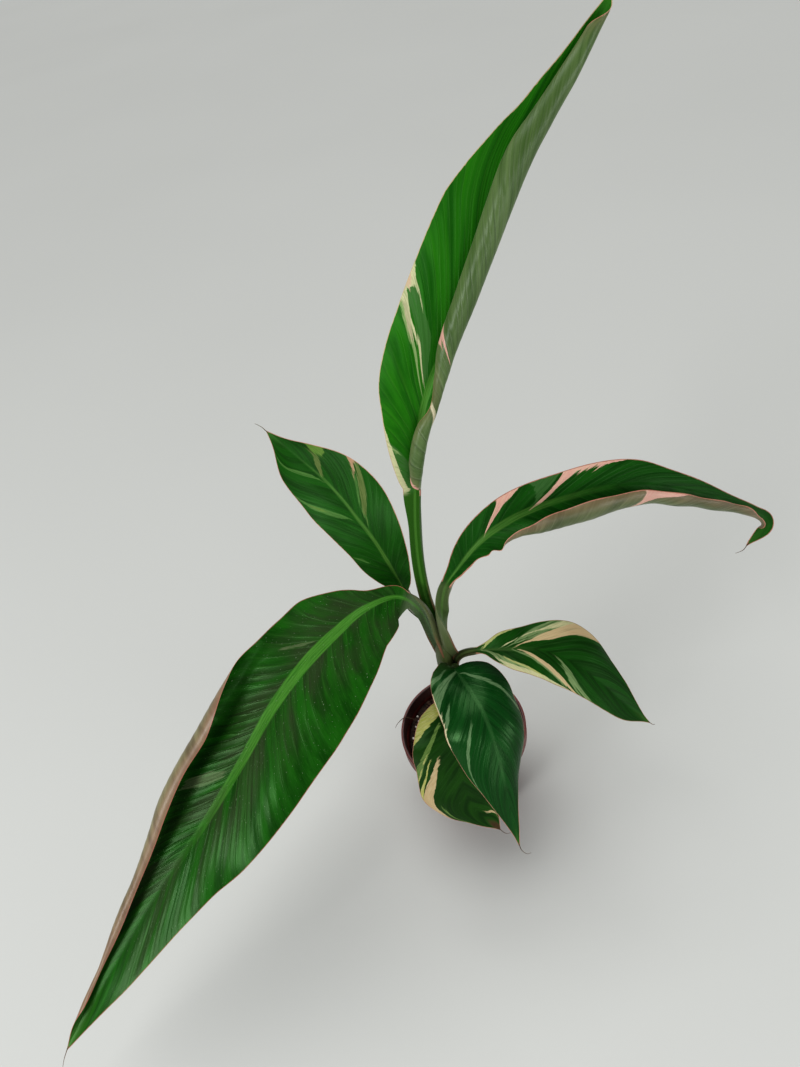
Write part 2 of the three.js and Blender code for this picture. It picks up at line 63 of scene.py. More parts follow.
def paint(red, green, blue):
    """A colour as it is seen on a screen, from 0 to 255, as the linear colour that a shader takes."""
    shares = [v / 255 for v in (red, green, blue)]
    return (*(v / 12.92 if v < 0.0405 else ((v + 0.055) / 1.055) ** 2.4 for v in shares), 1)


def fill(tree, node, values):
    """Fills a node's sockets with numbers, colours or links."""
    for key, value in dict(values).items():
        if isinstance(value, bpy.types.NodeSocket):
            tree.links.new(value, node.inputs[key])
        else:
            node.inputs[key].default_value = value
    return node


def put(tree, kind, values=(), **settings):
    """Adds a node with its settings and fills its sockets."""
    node = tree.nodes.new("ShaderNode" + kind)
    for key, value in settings.items():
        setattr(node, key, value)
    return fill(tree, node, values)


def maths(tree, operation, a, b=0.0, clamp=False):
    return put(tree, "Math", {0: a, 1: b}, operation=operation, use_clamp=clamp).outputs[0]


def blend(tree, share, a, b):
    """Colour a where share is 0, and colour b where it is 1."""
    return put(tree, "Mix", {0: share, 6: a, 7: b}, data_type="RGBA").outputs[2]


def ramp(tree, value, low, high):
    """A soft step from 0 at low to 1 at high."""
    sockets = {0: value, 1: low, 2: high}
    return put(tree, "MapRange", sockets, interpolation_type="SMOOTHSTEP").outputs[0]


def brushes(tree):
    """Short names for the sums and mixes in one node tree."""

    def times(first, *rest, clamp=False):
        for value in rest:
            first = maths(tree, "MULTIPLY", first, value, clamp)
        return first

    plus, less = partial(maths, tree, "ADD"), partial(maths, tree, "SUBTRACT")
    return times, plus, less, partial(blend, tree), partial(ramp, tree)


def grain(tree, vector, scale, detail=3.0, roughness=0.55):
    sockets = {"Vector": vector, "Scale": scale, "Detail": detail, "Roughness": roughness}
    return put(tree, "TexNoise", sockets).outputs[0]


def new_finish(name):
    """An empty material with its node tree and its Object coordinates."""
    material = bpy.data.materials.new(name)
    material.use_nodes = True
    tree = material.node_tree
    return material, tree, put(tree, "TexCoord").outputs["Object"]


def coat(material, colour, roughness, height=None, depth=0.0, more=()):
    """Fills the sockets of a material's shader. Its relief is depth metres high where height is 1."""
    tree = material.node_tree
    sockets = {"Base Color": colour, "Roughness": roughness, **dict(more)}
    if height is not None:
        bump = put(tree, "Bump", {"Strength": 1.0, "Distance": depth, "Height": height})
        sockets["Normal"] = bump.outputs[0]
    fill(tree, tree.nodes["Principled BSDF"], sockets)
    return material


def select_nothing():
    bpy.ops.object.select_all(action="DESELECT")


def leave_edit_mode():
    """Turns all faces outwards and goes back to object mode."""
    bpy.ops.mesh.select_all(action="SELECT")
    bpy.ops.mesh.normals_make_consistent(inside=False)
    bpy.ops.object.mode_set(mode="OBJECT")


def smoothed(piece, sharp_from=None):
    """Shades a piece smooth, but not over edges that turn by more than sharp_from degrees."""
    select_nothing()
    bpy.context.view_layer.objects.active = piece
    piece.select_set(True)
    if sharp_from is None:
        bpy.ops.object.shade_smooth()
    else:
        bpy.ops.object.shade_smooth_by_angle(angle=math.radians(sharp_from))
    return piece


def drawn_up(name, profile, segments):
    """A shell drawn up ring by ring through (radius, height) pairs, closed at both of its poles."""
    select_nothing()
    radius, height = profile[0]
    bpy.ops.mesh.primitive_circle_add(
        vertices=segments, radius=radius, fill_type="TRIFAN", location=(0, 0, height)
    )
    shell = bpy.context.object
    shell.name = name
    bpy.ops.object.transform_apply()
    bpy.ops.object.mode_set(mode="EDIT")
    bpy.ops.mesh.select_all(action="DESELECT")
    bpy.ops.mesh.select_non_manifold()
    for next_radius, next_height in profile[1:]:
        rise = (0, 0, next_height - height)
        bpy.ops.mesh.extrude_edges_move(TRANSFORM_OT_translate={"value": rise})
        spread = max(next_radius, 1e-6) / radius
        bpy.ops.transform.resize(value=(spread, spread, 1), center_override=(0, 0, next_height))
        radius, height = next_radius, next_height
    bpy.ops.mesh.merge(type="CENTER")
    leave_edit_mode()
    return shell


def finish_piece(piece, material, slot, *nodes):
    """Gives a piece its finish and its body, and hides the CAD nodes that it stands for. Its slot is not
    used.
    """
    if material is not None:
        piece.data.materials.append(material)
    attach(piece, "root")
    if nodes:
        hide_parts(*nodes)


def pot_plastic():
    material, tree, place = new_finish("maroon_plastic")
    times, plus, _, mix, fade = brushes(tree)
    cloudy = grain(tree, place, 60.0, 5.0)
    scuffs = grain(tree, place, 900.0, 4.0, 0.7)
    height = put(tree, "SeparateXYZ", {0: place}).outputs[2]
    level = put(tree, "Mapping", {0: place, 3: (1, 1, 0)}).outputs[0]
    radius = put(tree, "VectorMath", {0: level}, operation="LENGTH").outputs["Value"]
    colour = mix(cloudy, paint(92, 36, 30), paint(120, 50, 40))
    splashed = times(fade(scuffs, 0.56, 0.72), fade(height, 0.07, 0.09))
    colour = mix(times(splashed, 0.45), colour, paint(92, 74, 62))
    lime = times(fade(cloudy, 0.55, 0.75), fade(height, 0.03, 0.0))
    colour = mix(times(lime, 0.5), colour, paint(176, 150, 138))
    # Darker, unevenly, over the whole inner wall above the soil.
    inner = times(fade(radius, *INNER_WALL), fade(height, 0.08, 0.082))
    inner_wall_darkening = times(inner, plus(cloudy, 0.35), clamp=True)
    colour = mix(inner_wall_darkening, colour, paint(42, 26, 22))
    rough = plus(times(scuffs, 0.3), 0.32)
    return coat(material, colour, rough, scuffs, 0.00006)


def nursery_pot():
    ring, foot, rim = DRAIN_CIRCLE, FOOT_RADIUS, RIM_RADIUS
    outside = [
        (ring - RECESS_REACH - 0.0015, 0), (ring - RECESS_REACH, FLOOR_RAISE),
        (ring + RECESS_REACH, FLOOR_RAISE), (ring + RECESS_REACH + 0.0015, 0),
        (foot - 0.0008, 0), (foot, 0.0008),
    ]
    taper = (POT_BODY_RADIUS - foot) / (POT_SHOULDER - 0.0018)
    for hoop in POT_HOOPS:
        radius = foot + taper * (hoop - 0.0008)
        outside += [(radius, hoop), (radius + 0.0004, hoop + 0.0005), (radius + 0.0002, hoop + 0.0011)]
    outside += [
        (POT_BODY_RADIUS, POT_SHOULDER - 0.001), (rim - 0.0006, POT_SHOULDER),
        (rim, POT_SHOULDER + 0.0008), (rim - 0.0003, POT_HEIGHT - 0.0022),
        (rim, POT_HEIGHT - 0.0016), (rim, POT_HEIGHT - 0.0006), (rim - 0.0007, POT_HEIGHT),
    ]
    brim, base = rim - POT_WALL, FLOOR_RAISE + POT_WALL
    inside = [
        (brim - 0.0006, POT_HEIGHT), (brim - 0.001, POT_HEIGHT - 0.0006),
        (brim - 0.0014, POT_SHOULDER + 0.003), (POT_BODY_RADIUS - POT_WALL, POT_SHOULDER),
        (foot - POT_WALL, base + 0.001), (foot - POT_WALL - FOOT_CHAMFER, base),
        (0.001, base), (0, base),
    ]
    pot = drawn_up("nursery_pot", outside + inside, POT_SEGMENTS)
    select_nothing()
    drills = []
    for k in range(DRAIN_COUNT):
        turn = 2 * math.pi * k / DRAIN_COUNT
        place = (ring * math.cos(turn), ring * math.sin(turn), FLOOR_RAISE + POT_WALL / 2)
        bpy.ops.mesh.primitive_cylinder_add(
            vertices=32, radius=DRAIN_RADIUS, depth=4 * POT_WALL, location=place
        )
        drills.append(bpy.context.object)
    for drill in drills:
        drill.select_set(True)
    bpy.ops.object.join()
    drill = bpy.context.object
    select_nothing()
    bpy.context.view_layer.objects.active = pot
    cut = pot.modifiers.new("drain_holes", "BOOLEAN")
    cut.object = drill
    cut.operation = "DIFFERENCE"
    cut.solver = "EXACT"
    bpy.ops.object.modifier_apply(modifier=cut.name)
    bpy.data.objects.remove(drill)
    round_off = pot.modifiers.new("round_edges", "BEVEL")
    round_off.width = 0.0002
    round_off.segments = 2
    round_off.angle_limit = math.radians(28)
    bpy.ops.object.modifier_apply(modifier=round_off.name)
    return smoothed(pot, 35)


finish_piece(nursery_pot(), pot_plastic(), "pot_plastic", "pot")

# Soil: peat and coir that fill the pot to a lumpy surface a little under the rim, with a plain hole in
# which the stem stands. White perlite, dark crumbs and thin fibres lie on it, and one dry strand
# reaches out over the rim.
SOIL_LEVEL = 0.082
SOIL_SEGMENTS = 144
SOIL_RINGS = 44
CLEARANCE = 0.0003
STEM_HOLE_RADIUS = 0.0106
PERLITE_COUNT = 120
CRUMB_COUNT = 460
FIBRE_COUNT = 46
EDGE_SINK = 0.0025
HOLE_SINK = 0.012
SOIL_SEED = 7
RIM_STRAND = [
    (-0.0390, 0.0225, 0.0845), (-0.0415, 0.0221, 0.0880), (-0.0440, 0.0215, 0.0915),
    (-0.0464, 0.0207, 0.0936), (-0.0487, 0.0197, 0.0940), (-0.0507, 0.0185, 0.0938),
    (-0.0526, 0.0176, 0.0930), (-0.0543, 0.0166, 0.0918), (-0.0560, 0.0150, 0.0905),
]


def soil_height(x, y):
    """The height of the soil's surface, in metres, with its low mounds and its clods."""
    mx, my = 1000 * x, 1000 * y
    coarse = math.sin(0.21 * mx + 1.3) * math.cos(0.17 * my - 0.6)
    clods = math.sin(0.63 * mx + 0.4 * my) * math.cos(0.55 * my - 0.3 * mx + 1.1)
    crumbs = noise.noise(Vector((x, y, 0)) * 420) + 0.6 * noise.noise(Vector((x, y, 0.01)) * 900)
    return SOIL_LEVEL + 0.0011 * coarse + 0.0009 * clods + 0.0008 * crumbs


def soil_finish():
    material, tree, place = new_finish("damp_peat")
    clods = grain(tree, place, 260.0, 6.0, 0.65)
    fine = grain(tree, place, 1600.0, 4.0, 0.7)
    colour = blend(tree, ramp(tree, clods, 0.35, 0.65), paint(28, 18, 13), paint(66, 47, 37))
    colour = blend(tree, ramp(tree, fine, 0.6, 0.72), colour, paint(104, 80, 62))
    return coat(material, colour, 0.92, maths(tree, "ADD", clods, fine), 0.0006)


def soil_bed():
    low = FLOOR_RAISE + POT_WALL + CLEARANCE
    body = POT_BODY_RADIUS - POT_WALL
    taper = (body - FOOT_RADIUS + POT_WALL) / (POT_SHOULDER - FLOOR_RAISE - POT_WALL - 0.001)
    foot = FOOT_RADIUS - POT_WALL - FOOT_CHAMFER - 2 * CLEARANCE
    brim = body - taper * 0.005 - 2 * CLEARANCE
    profile = [(0.001, low), (foot, low), (foot + 0.0009, low + 0.0015), (brim, POT_SHOULDER - 0.005)]
    for k in range(SOIL_RINGS + 1):
        profile.append(((brim - 0.0002) * (1 - k / SOIL_RINGS), SOIL_LEVEL))
    soil = drawn_up("soil_bed", profile, SOIL_SEGMENTS)
    for vertex in soil.data.vertices:
        if vertex.co.z > SOIL_LEVEL - 0.001:
            x, y = vertex.co.xy
            fall = min(1, max(0, (math.hypot(x, y) / brim - 0.75) / 0.25))
            hole = min(1, max(0, (STEM_HOLE_RADIUS + 0.002 - math.hypot(x, y)) / 0.002))
            fall *= fall * (3 - 2 * fall)
            vertex.co.z = soil_height(x, y) - EDGE_SINK * fall - HOLE_SINK * hole
    return smoothed(soil)


def piece_of(name, points, faces):
    mesh = bpy.data.meshes.new(name)
    mesh.from_pydata(points, [], faces)
    piece = bpy.data.objects.new(name, mesh)
    bpy.context.scene.collection.objects.link(piece)
    return piece


def scattered(name, count, shape, place):
    """Copies of one small shape, each with its own place, turn and size, joined in one piece."""
    corners = np.array([v.co for v in shape.data.vertices])
    faces = [list(p.vertices) for p in shape.data.polygons]
    points, polygons = [], []
    for k in range(count):
        matrix = place(k)
        dents = np.array([1 + 0.35 * noise.noise(Vector(c) * 1.7 + Vector((k, 0, 0))) for c in corners])
        moved = (corners * dents[:, None]) @ np.array(matrix.to_3x3()).T + np.array(matrix.translation)
        polygons += [[v + k * len(corners) for v in face] for face in faces]
        points.append(moved)
    bpy.data.objects.remove(shape)
    piece = piece_of(name, np.concatenate(points).tolist(), polygons)
    piece.data.polygons.foreach_set("use_smooth", [True] * len(polygons))
    return piece


def lump():
    select_nothing()
    bpy.ops.mesh.primitive_ico_sphere_add(subdivisions=2, radius=1)
    return bpy.context.object


def on_soil(draw, smallest, largest, flatness):
    """Where a grain lies on the soil, and its size, as a matrix."""
    reach = draw.uniform(0.3, 1) ** 0.5 * (POT_BODY_RADIUS - 0.0045)
    turn = draw.uniform(0, 2 * math.pi)
    x, y = reach * math.cos(turn), reach * math.sin(turn)
    size = draw.uniform(smallest, largest)
    edge = min(1, max(0, (reach / POT_BODY_RADIUS - 0.72) / 0.25))
    height = soil_height(x, y) - EDGE_SINK * edge + 0.25 * size
    stretch = Matrix.Diagonal((size, size * draw.uniform(0.6, 1), size * flatness, 1))
    spin = Matrix.Rotation(draw.uniform(0, 2 * math.pi), 4, "Z")
    lean = Matrix.Rotation(draw.uniform(-0.5, 0.5), 4, "X")
    return Matrix.Translation((x, y, height)) @ spin @ lean @ stretch


def plain_grain(name, dark, light, roughness):
    material, tree, place = new_finish(name)
    colour = blend(tree, grain(tree, place, 700.0, 5.0), dark, light)
    return coat(material, colour, roughness, grain(tree, place, 2500.0, 3.0), 0.0002)


def fibre_strands(draw):
    """Thin bent strands of coir, each a narrow tube that lies in and on the soil."""
    sides, steps = 5, 9
    points, faces, lines = [], [], []
    for k in range(FIBRE_COUNT):
        start = on_soil(draw, 0.0002, 0.00035, 1)
        heading = draw.uniform(0, 2 * math.pi)
        bend = draw.uniform(-2.2, 2.2)
        length = draw.uniform(0.006, 0.018)
        x, y = start.translation.xy
        girth = start.to_scale().x
        line = []
        for step in range(steps):
            arch = 0.0022 * math.sin(math.pi * step / (steps - 1))
            line.append((x, y, soil_height(x, y) + girth + arch))
            heading += bend / steps
            x += length / steps * math.cos(heading)
            y += length / steps * math.sin(heading)
            shrink = min(1, (POT_BODY_RADIUS - 0.004) / math.hypot(x, y))
            x, y = x * shrink, y * shrink
        lines.append((line, girth))
    lines.append((RIM_STRAND, 0.0006))
    for k, (line, girth) in enumerate(lines):
        for step, middle in enumerate(line):
            before = Vector(line[max(0, step - 1)])
            after = Vector(line[min(steps - 1, step + 1)])
            turned = (after - before).to_track_quat("Z", "Y")
            thin = girth * (1 - 0.8 * step / (steps - 1))
            for side in range(sides):
                turn = 2 * math.pi * side / sides
                ring = turned @ Vector((thin * math.cos(turn), thin * math.sin(turn), 0))
                points.append(Vector(middle) + ring)
        base = k * sides * steps
        for step in range(steps - 1):
            for side in range(sides):
                a = base + step * sides + side
                b = base + step * sides + (side + 1) % sides
                faces.append((a, b, b + sides, a + sides))
        faces.append([base + side for side in reversed(range(sides))])
        faces.append([base + (steps - 1) * sides + side for side in range(sides)])
    return piece_of("coir_fibres", points, faces)


soil_draw = random.Random(SOIL_SEED)
finish_piece(soil_bed(), soil_finish(), "potting_soil", "soil")
perlite = scattered(
    "perlite_grains", PERLITE_COUNT, lump(), lambda k: on_soil(soil_draw, 0.0006, 0.0019, 0.8)
)
finish_piece(perlite, plain_grain("perlite", paint(196, 190, 178), paint(240, 236, 228), 0.8), None)
crumbs = scattered(
    "peat_crumbs", CRUMB_COUNT, lump(), lambda k: on_soil(soil_draw, 0.0006, 0.0021, 0.55)
)
crumb_finish = plain_grain("peat_crumb", paint(24, 15, 10), paint(84, 58, 42), 0.95)
finish_piece(crumbs, crumb_finish, "potting_soil")
fibres = fibre_strands(soil_draw)
finish_piece(fibres, plain_grain("coir", paint(44, 30, 22), paint(104, 76, 52), 0.85), "potting_soil")

# Pseudostem: leaf sheaths wrapped tightly round each other. Their free edges show as two slanting
# steps with a thin, dry, brown margin, and the oldest sheaths are reddish brown near the soil.
STEM_FOOT = 0.046
STEM_TOP = 0.212
STEM_SEGMENTS = 120
STEM_ROWS = 150
SHEATH_EDGE = 0.0008
STEM_LEAN = -0.0022
STEM_PROFILE = [
    (0.046, 0.0050), (0.049, 0.0084), (0.055, 0.0095), (0.066, 0.0095), (0.078, 0.0093),
    (0.090, 0.0090), (0.102, 0.0086), (0.115, 0.0082), (0.128, 0.0078), (0.142, 0.0074),
    (0.156, 0.0071), (0.170, 0.0068), (0.183, 0.0065), (0.194, 0.0061), (0.203, 0.0053),
    (0.209, 0.0036), (0.212, 0.0001),
]


def smooth_step(value, low, high):
    t = np.clip((value - low) / (high - low), 0, 1)
    return t * t * (3 - 2 * t)


def stem_sheaths():
    heights = np.linspace(STEM_FOOT, STEM_TOP, STEM_ROWS)
    radii = np.interp(heights, *zip(*STEM_PROFILE))
    stem = drawn_up("stem_sheaths", list(zip(radii, heights)) + [(0, STEM_TOP)], STEM_SEGMENTS)
    mesh = stem.data
    place = np.array([v.co for v in mesh.vertices])
    radius = np.hypot(place[:, 0], place[:, 1])
    turn = np.arctan2(place[:, 1], place[:, 0]) / (2 * math.pi)
    rise = 1000 * place[:, 2]
    first = (turn + 0.004 * rise) % 1
    second = (turn - 0.003 * rise + 0.45) % 1
    rounded = 0.5 * (smooth_step(first, 0, 0.03) - smooth_step(second, 0, 0.03))
    ledge = SHEATH_EDGE * ((first + second - 1) / 2 + 0.12 * rounded)
    rib = 0.00006 * np.sin(2 * math.pi * 26 * turn + 0.05 * rise)
    full = (radius + (ledge + rib) * np.minimum(1, radius / 0.006)) / np.maximum(radius, 1e-6)
    place[:, :2] *= full[:, None]
    place[:, 0] += STEM_LEAN * smooth_step(rise, 110, 200)
    mesh.vertices.foreach_set("co", place.ravel())
    margin = mesh.attributes.new("sheath_margin", "FLOAT", "POINT")
    nearest = np.minimum(np.minimum(first, 1 - first), np.minimum(second, 1 - second))
    margin.data.foreach_set("value", nearest * 2 * math.pi * radius * 1000)
    return smoothed(stem)


def sheath_finish():
    material, tree, place = new_finish("green_sheath")
    times, plus, _, mix, fade = brushes(tree)
    stretched = put(tree, "Mapping", {0: place, 3: (1, 1, 0.04)}).outputs[0]
    strands = grain(tree, stretched, 900.0, 4.0, 0.6)
    blotches = grain(tree, put(tree, "Mapping", {0: place, 3: (1, 1, 0.3)}).outputs[0], 150.0, 3.0)
    height = put(tree, "SeparateXYZ", {0: place}).outputs[2]
    colour = mix(fade(height, 0.1, 0.2), paint(126, 108, 66), paint(92, 104, 60))
    colour = mix(times(strands, 0.6), colour, paint(62, 74, 34))
    aged = times(fade(blotches, 0.42, 0.62), fade(height, 0.17, 0.08))
    colour = mix(aged, colour, paint(104, 66, 48))
    foot = fade(height, 0.092, 0.08)
    colour = mix(times(foot, 0.7), colour, paint(72, 46, 34))
    margin = put(tree, "Attribute", attribute_name="sheath_margin").outputs["Fac"]
    dry = fade(plus(margin, times(strands, 0.5)), 1.1, 0.45)
    colour = mix(times(dry, 0.85), colour, paint(150, 112, 82))
    return coat(material, colour, 0.46, strands, 0.00025)


finish_piece(stem_sheaths(), sheath_finish(), "sheath_green", "pseudostem")

# Lowest leaf: the oldest one, hanging down in front of the pot under the front leaf. It is yellow and
# peach on its left and dark green on its right, and its tip has dried brown.

# Leaf tables are in millimetres. A path runs from the root of the petiole to the tip, and facings say
# where the upper side looks. A station is (position along the blade, then the width, lift and curl of
# the left half and of the right half, then the fold of the right half if it has one). A streak is its
# tint and points of (share of the half's width, where its lateral vein leaves the midrib as a share of
# the blade, half of its breadth).
MM = 0.001
BLADE_THICKNESS = 0.55
MARGIN_THICKNESS = 0.25
MARGIN_TAPER = 2.5
MIDRIB_DEPTH = 4.2
MIDRIB_TIP_DEPTH = 1.2
MIDRIB_REACH = 3.2
MIDRIB_TIP_REACH = 1.2
PETIOLE_DEPTH = 5.2
PETIOLE_LIFT = 38
THREAD_WIDTH = 0.28
THREAD_ROWS = 12
ARC_STEPS = 28
STREAK_END_SLOPE = 0.35
STREAK_FEATHER = 0.3
FAR_OUTSIDE = -50.0
BLADE_END = (1, 0.4, 0, 0, 0.4, 0, 0)
NO_RIPPLE = ((0, 0, 0), (0, 0, 0))
VEIN_SHARPNESS = 26.0
GLOSS_TINT = (0.5, 1, 0.42, 1)
UNDER_GLOSS = (0.32, 0.4, (1, 1, 1, 1), 0.1)
TINTS = ("grey", "pale", "yellow", "cream", "beige", "pink")


def sample_table(rows, at):
    """Smooth values between the rows of a table whose first column is the position along it."""
    rows = np.array(rows, float)
    x, values = rows[:, 0], rows[:, 1:]
    at = np.clip(at, x[0], x[-1])
    before = np.maximum(np.arange(len(x)) - 1, 0)
    after = np.minimum(np.arange(len(x)) + 1, len(x) - 1)
    slope = (values[after] - values[before]) / (x[after] - x[before])[:, None]
    i = np.clip(np.searchsorted(x, at, side="right") - 1, 0, len(x) - 2)
    step = (x[i + 1] - x[i])[:, None]
    t = (at - x[i])[:, None] / step
    rest = (2 * t**3 - 3 * t**2 + 1) * values[i] + (3 * t**2 - 2 * t**3) * values[i + 1]
    return rest + step * ((t**3 - 2 * t**2 + t) * slope[i] + (t**3 - t**2) * slope[i + 1])


def path_points(points, at):
    """Points of a smooth path at shares of its length, and the length."""
    points = np.array(points, float)
    last = len(points) - 1
    ends = (2 * points[0] - points[1], 2 * points[-1] - points[-2])
    held = np.vstack([ends[0], points, ends[1]])

    def at_turn(turn):
        i = np.clip(np.floor(turn).astype(int), 0, last - 1)
        w = (turn - i)[:, None]
        a, b, c, d = held[i], held[i + 1], held[i + 2], held[i + 3]
        leave, arrive = (c - a) / 2, (d - b) / 2
        curve = (3 * (c - b) - 2 * leave - arrive) * w**2 + (2 * (b - c) + leave + arrive) * w**3
        return b + leave * w + curve

    turns = np.linspace(0, last, 401)
    gaps = np.linalg.norm(np.diff(at_turn(turns), axis=0), axis=1)
    run = np.concatenate([[0], np.cumsum(gaps)])
    return at_turn(np.interp(at * run[-1], run, turns)), run[-1]


def directions(vectors):
    return vectors / np.linalg.norm(vectors, axis=-1, keepdims=True)


def between(first, last, share):
    return first + (last - first) * share


def leaf_blank(name, rows, columns):
    """A flat blank of a leaf, two units wide and long, with its underside one unit below."""
    select_nothing()
    bpy.ops.mesh.primitive_grid_add(x_subdivisions=2 * columns, y_subdivisions=rows, size=2)
    blank = bpy.context.object
    blank.name = name
    bpy.ops.object.mode_set(mode="EDIT")
    bpy.ops.mesh.select_all(action="SELECT")
    bpy.ops.mesh.extrude_region_move(TRANSFORM_OT_translate={"value": (0, 0, -1)})
    leave_edit_mode()
    return blank


def streak_depth(points, share, vein, width, length):
    """How deep a point lies inside a streak, in millimetres along the midrib. It is below 0 outside.
    An end that is not at the midrib or at the margin counts as a side, but with a longer fade."""
    x, centre, half = zip(*points)
    depth = np.interp(share, x, half) - abs(vein - np.interp(share, x, centre)) * length
    if x[0] > 0.05:
        depth = np.minimum(depth, STREAK_END_SLOPE * (share - x[0]) * width + STREAK_FEATHER)
    if x[-1] < 0.97:
        depth = np.minimum(depth, STREAK_END_SLOPE * (x[-1] - share) * width + STREAK_FEATHER)
    return depth


def grown_leaf(name, leaf):
    """Bends a flat blank into the leaf, and stores what its finish needs: a vein map in millimetres,
    the distance to the margin, and how deep each point lies in the streaks of each tint."""
    blank = leaf_blank(name, leaf["rows"], leaf["columns"])
    mesh = blank.data
    flat = np.array([v.co for v in mesh.vertices])
    side = np.where(flat[:, 0] < 0, -1.0, 1.0)
    share = np.abs(flat[:, 0]) ** 1.25
    under = flat[:, 2] < -0.5
    row = (flat[:, 1] + 1) / 2
    petiole_end, blade_end = leaf["petiole_share"], 1 - THREAD_ROWS / leaf["rows"]
    petiole = np.clip(row / petiole_end, 0, 1)
    vein = np.clip((row - petiole_end) / (blade_end - petiole_end), 0, 1) ** 1.1
    thread = np.clip((row - blade_end) / (1 - blade_end), 0, 1)

    # A lateral vein leaves the midrib at vein and reaches the margin nearer the tip.
    sweep, bow = leaf["sweep"]
    blade = vein + (1 - (1 - vein) ** sweep - vein) * (1 - (1 - share) ** bow)
    start = leaf["blade_from"]
    at = np.where(petiole < 1, start * petiole, start + (1 - start) * blade)
    centre, length = path_points(leaf["path"], at)
    blade_length = length * (1 - start)
    ahead = path_points(leaf["path"], np.minimum(1, at + 0.002))[0]
    behind = path_points(leaf["path"], np.maximum(0, at - 0.002))[0]
    tangent = directions(ahead - behind)
    facing = sample_table(leaf["facing"], at)
    normal = directions(facing - (facing * tangent).sum(1, keepdims=True) * tangent)
    aside = np.cross(tangent, normal)

    stations = [(*row, 0)[:8] for row in (*leaf["stations"], BLADE_END)]
    halves = sample_table(stations, blade)
    section = np.where(side[:, None] < 0, halves[:, :3], halves[:, 3:6])
    root_width, neck_width, root_depth = leaf["petiole"]
    stalk_width = between(root_width, neck_width, petiole)
    flare = smooth_step(petiole, leaf["flare_from"], 1)
    width = np.maximum(0.05, stalk_width * (1 - flare) + section[:, 0] * flare)
    lift = PETIOLE_LIFT * (1 - flare) + section[:, 1] * flare
    curl = section[:, 2] * flare
    fold = np.where(side < 0, 0, np.clip(halves[:, 6], 0, 0.8))
    groove = 1.6 * leaf["rib_scale"]

    def angle_at(x):
        opened = np.minimum(1, x * width[:, None] / groove)
        turned = np.maximum(0, (x - fold[:, None]) / (1 - fold[:, None]))
        return np.radians(lift[:, None] * opened + curl[:, None] * turned)

    middles = (np.arange(ARC_STEPS) + 0.5) / ARC_STEPS
    angles = angle_at(share[:, None] * middles)
    reach = share * width
    out, up = np.cos(angles).mean(1) * reach, np.sin(angles).mean(1) * reach
    angle = angle_at(share[:, None])[:, 0]
    ripples = np.array(leaf.get("ripple", NO_RIPPLE))[(side > 0).astype(int)]
    wave = ripples[:, 0] * np.sin(2 * math.pi * (ripples[:, 1] * blade + ripples[:, 2])) * share**2
    wave *= np.minimum(1, width / 15) * flare
    pleat, pleat_height = leaf["look"][0], leaf["pleat_height"]
    along = vein * blade_length
    furrow = 1 - np.abs(np.sin(math.pi * along / pleat)) ** 0.7
    fade = smooth_step(reach, 2, 7) * smooth_step(share, 1.02, 0.75) * flare
    wave += pleat_height * (furrow - 0.4) * fade * smooth_step(vein, 0.85, 0.4)
    spots = np.stack([0.028 * along, 0.035 * side * reach, np.full(len(flat), leaf["seed"])], 1)
    drift = np.array([noise.noise(Vector(spot)) for spot in spots])
    wave += leaf["sway"] * drift * smooth_step(reach, 2, 12) * flare
    if "frill" in leaf:
        frill_side, frill_from, frill_to, frill_height, frill_count = leaf["frill"]
        frilled = frill_height * share**4 * (side == frill_side) * flare
        frilled *= smooth_step(blade, frill_from, frill_from + 0.03)
        frilled *= smooth_step(blade, frill_to, frill_to - 0.05)
        wave += frilled * np.sin(2 * math.pi * frill_count * blade + 3 * np.sin(40 * blade))
    out -= wave * np.sin(angle)
    up += wave * np.cos(angle)

    # The thread is the dry, curled end of the midrib past the tip of the blade.
    is_thread = thread > 0
    tip_at = np.where(is_thread, thread, 0)
    thread_centre, thread_length = path_points(leaf["thread"], tip_at)
    thread_tangent = directions(
        path_points(leaf["thread"], np.minimum(1, tip_at + 0.02))[0]
        - path_points(leaf["thread"], np.maximum(0, tip_at - 0.02))[0]
    )
    thread_normal = directions(normal - (normal * thread_tangent).sum(1, keepdims=True) * thread_tangent)
    mask = is_thread[:, None]
    centre = np.where(mask, thread_centre, centre)
    aside = np.where(mask, np.cross(thread_tangent, thread_normal), aside)
    normal = np.where(mask, thread_normal, normal)
    thin = THREAD_WIDTH * (1 - 0.6 * thread)
    out = np.where(is_thread, share * thin, out)
    up = np.where(is_thread, 0, up)
    angle = np.where(is_thread, 0, angle)

    # The thickness below the upper face swells to the rib under the midrib and thins to the margin.
    scale = leaf["rib_scale"]
    rib_depth = between(MIDRIB_DEPTH, MIDRIB_TIP_DEPTH, blade**0.7)
    stalk_depth = between(root_depth, PETIOLE_DEPTH, petiole)
    depth = stalk_depth * (1 - flare) + rib_depth * flare
    spread = MIDRIB_REACH + (MIDRIB_TIP_REACH - MIDRIB_REACH) * blade * flare
    edge = np.minimum(1, (width - reach) / MARGIN_TAPER)
    web = between(MARGIN_THICKNESS, BLADE_THICKNESS, np.where(flare < 1, 1, edge))
    thick = web + (depth * scale - web) * np.exp(-((reach / (spread * scale)) ** 2))
    thick = np.where(is_thread, 1.4 * thin * (1 - 0.6 * share), np.minimum(thick, 0.5 + 40 * (1 - at)))
    outward = -(side * np.sin(angle))[:, None] * aside + np.cos(angle)[:, None] * normal
    surface = centre + (side * out)[:, None] * aside + up[:, None] * normal
    surface = np.where(under[:, None], surface - thick[:, None] * outward, surface)
    mesh.vertices.foreach_set("co", (MM * surface).ravel())

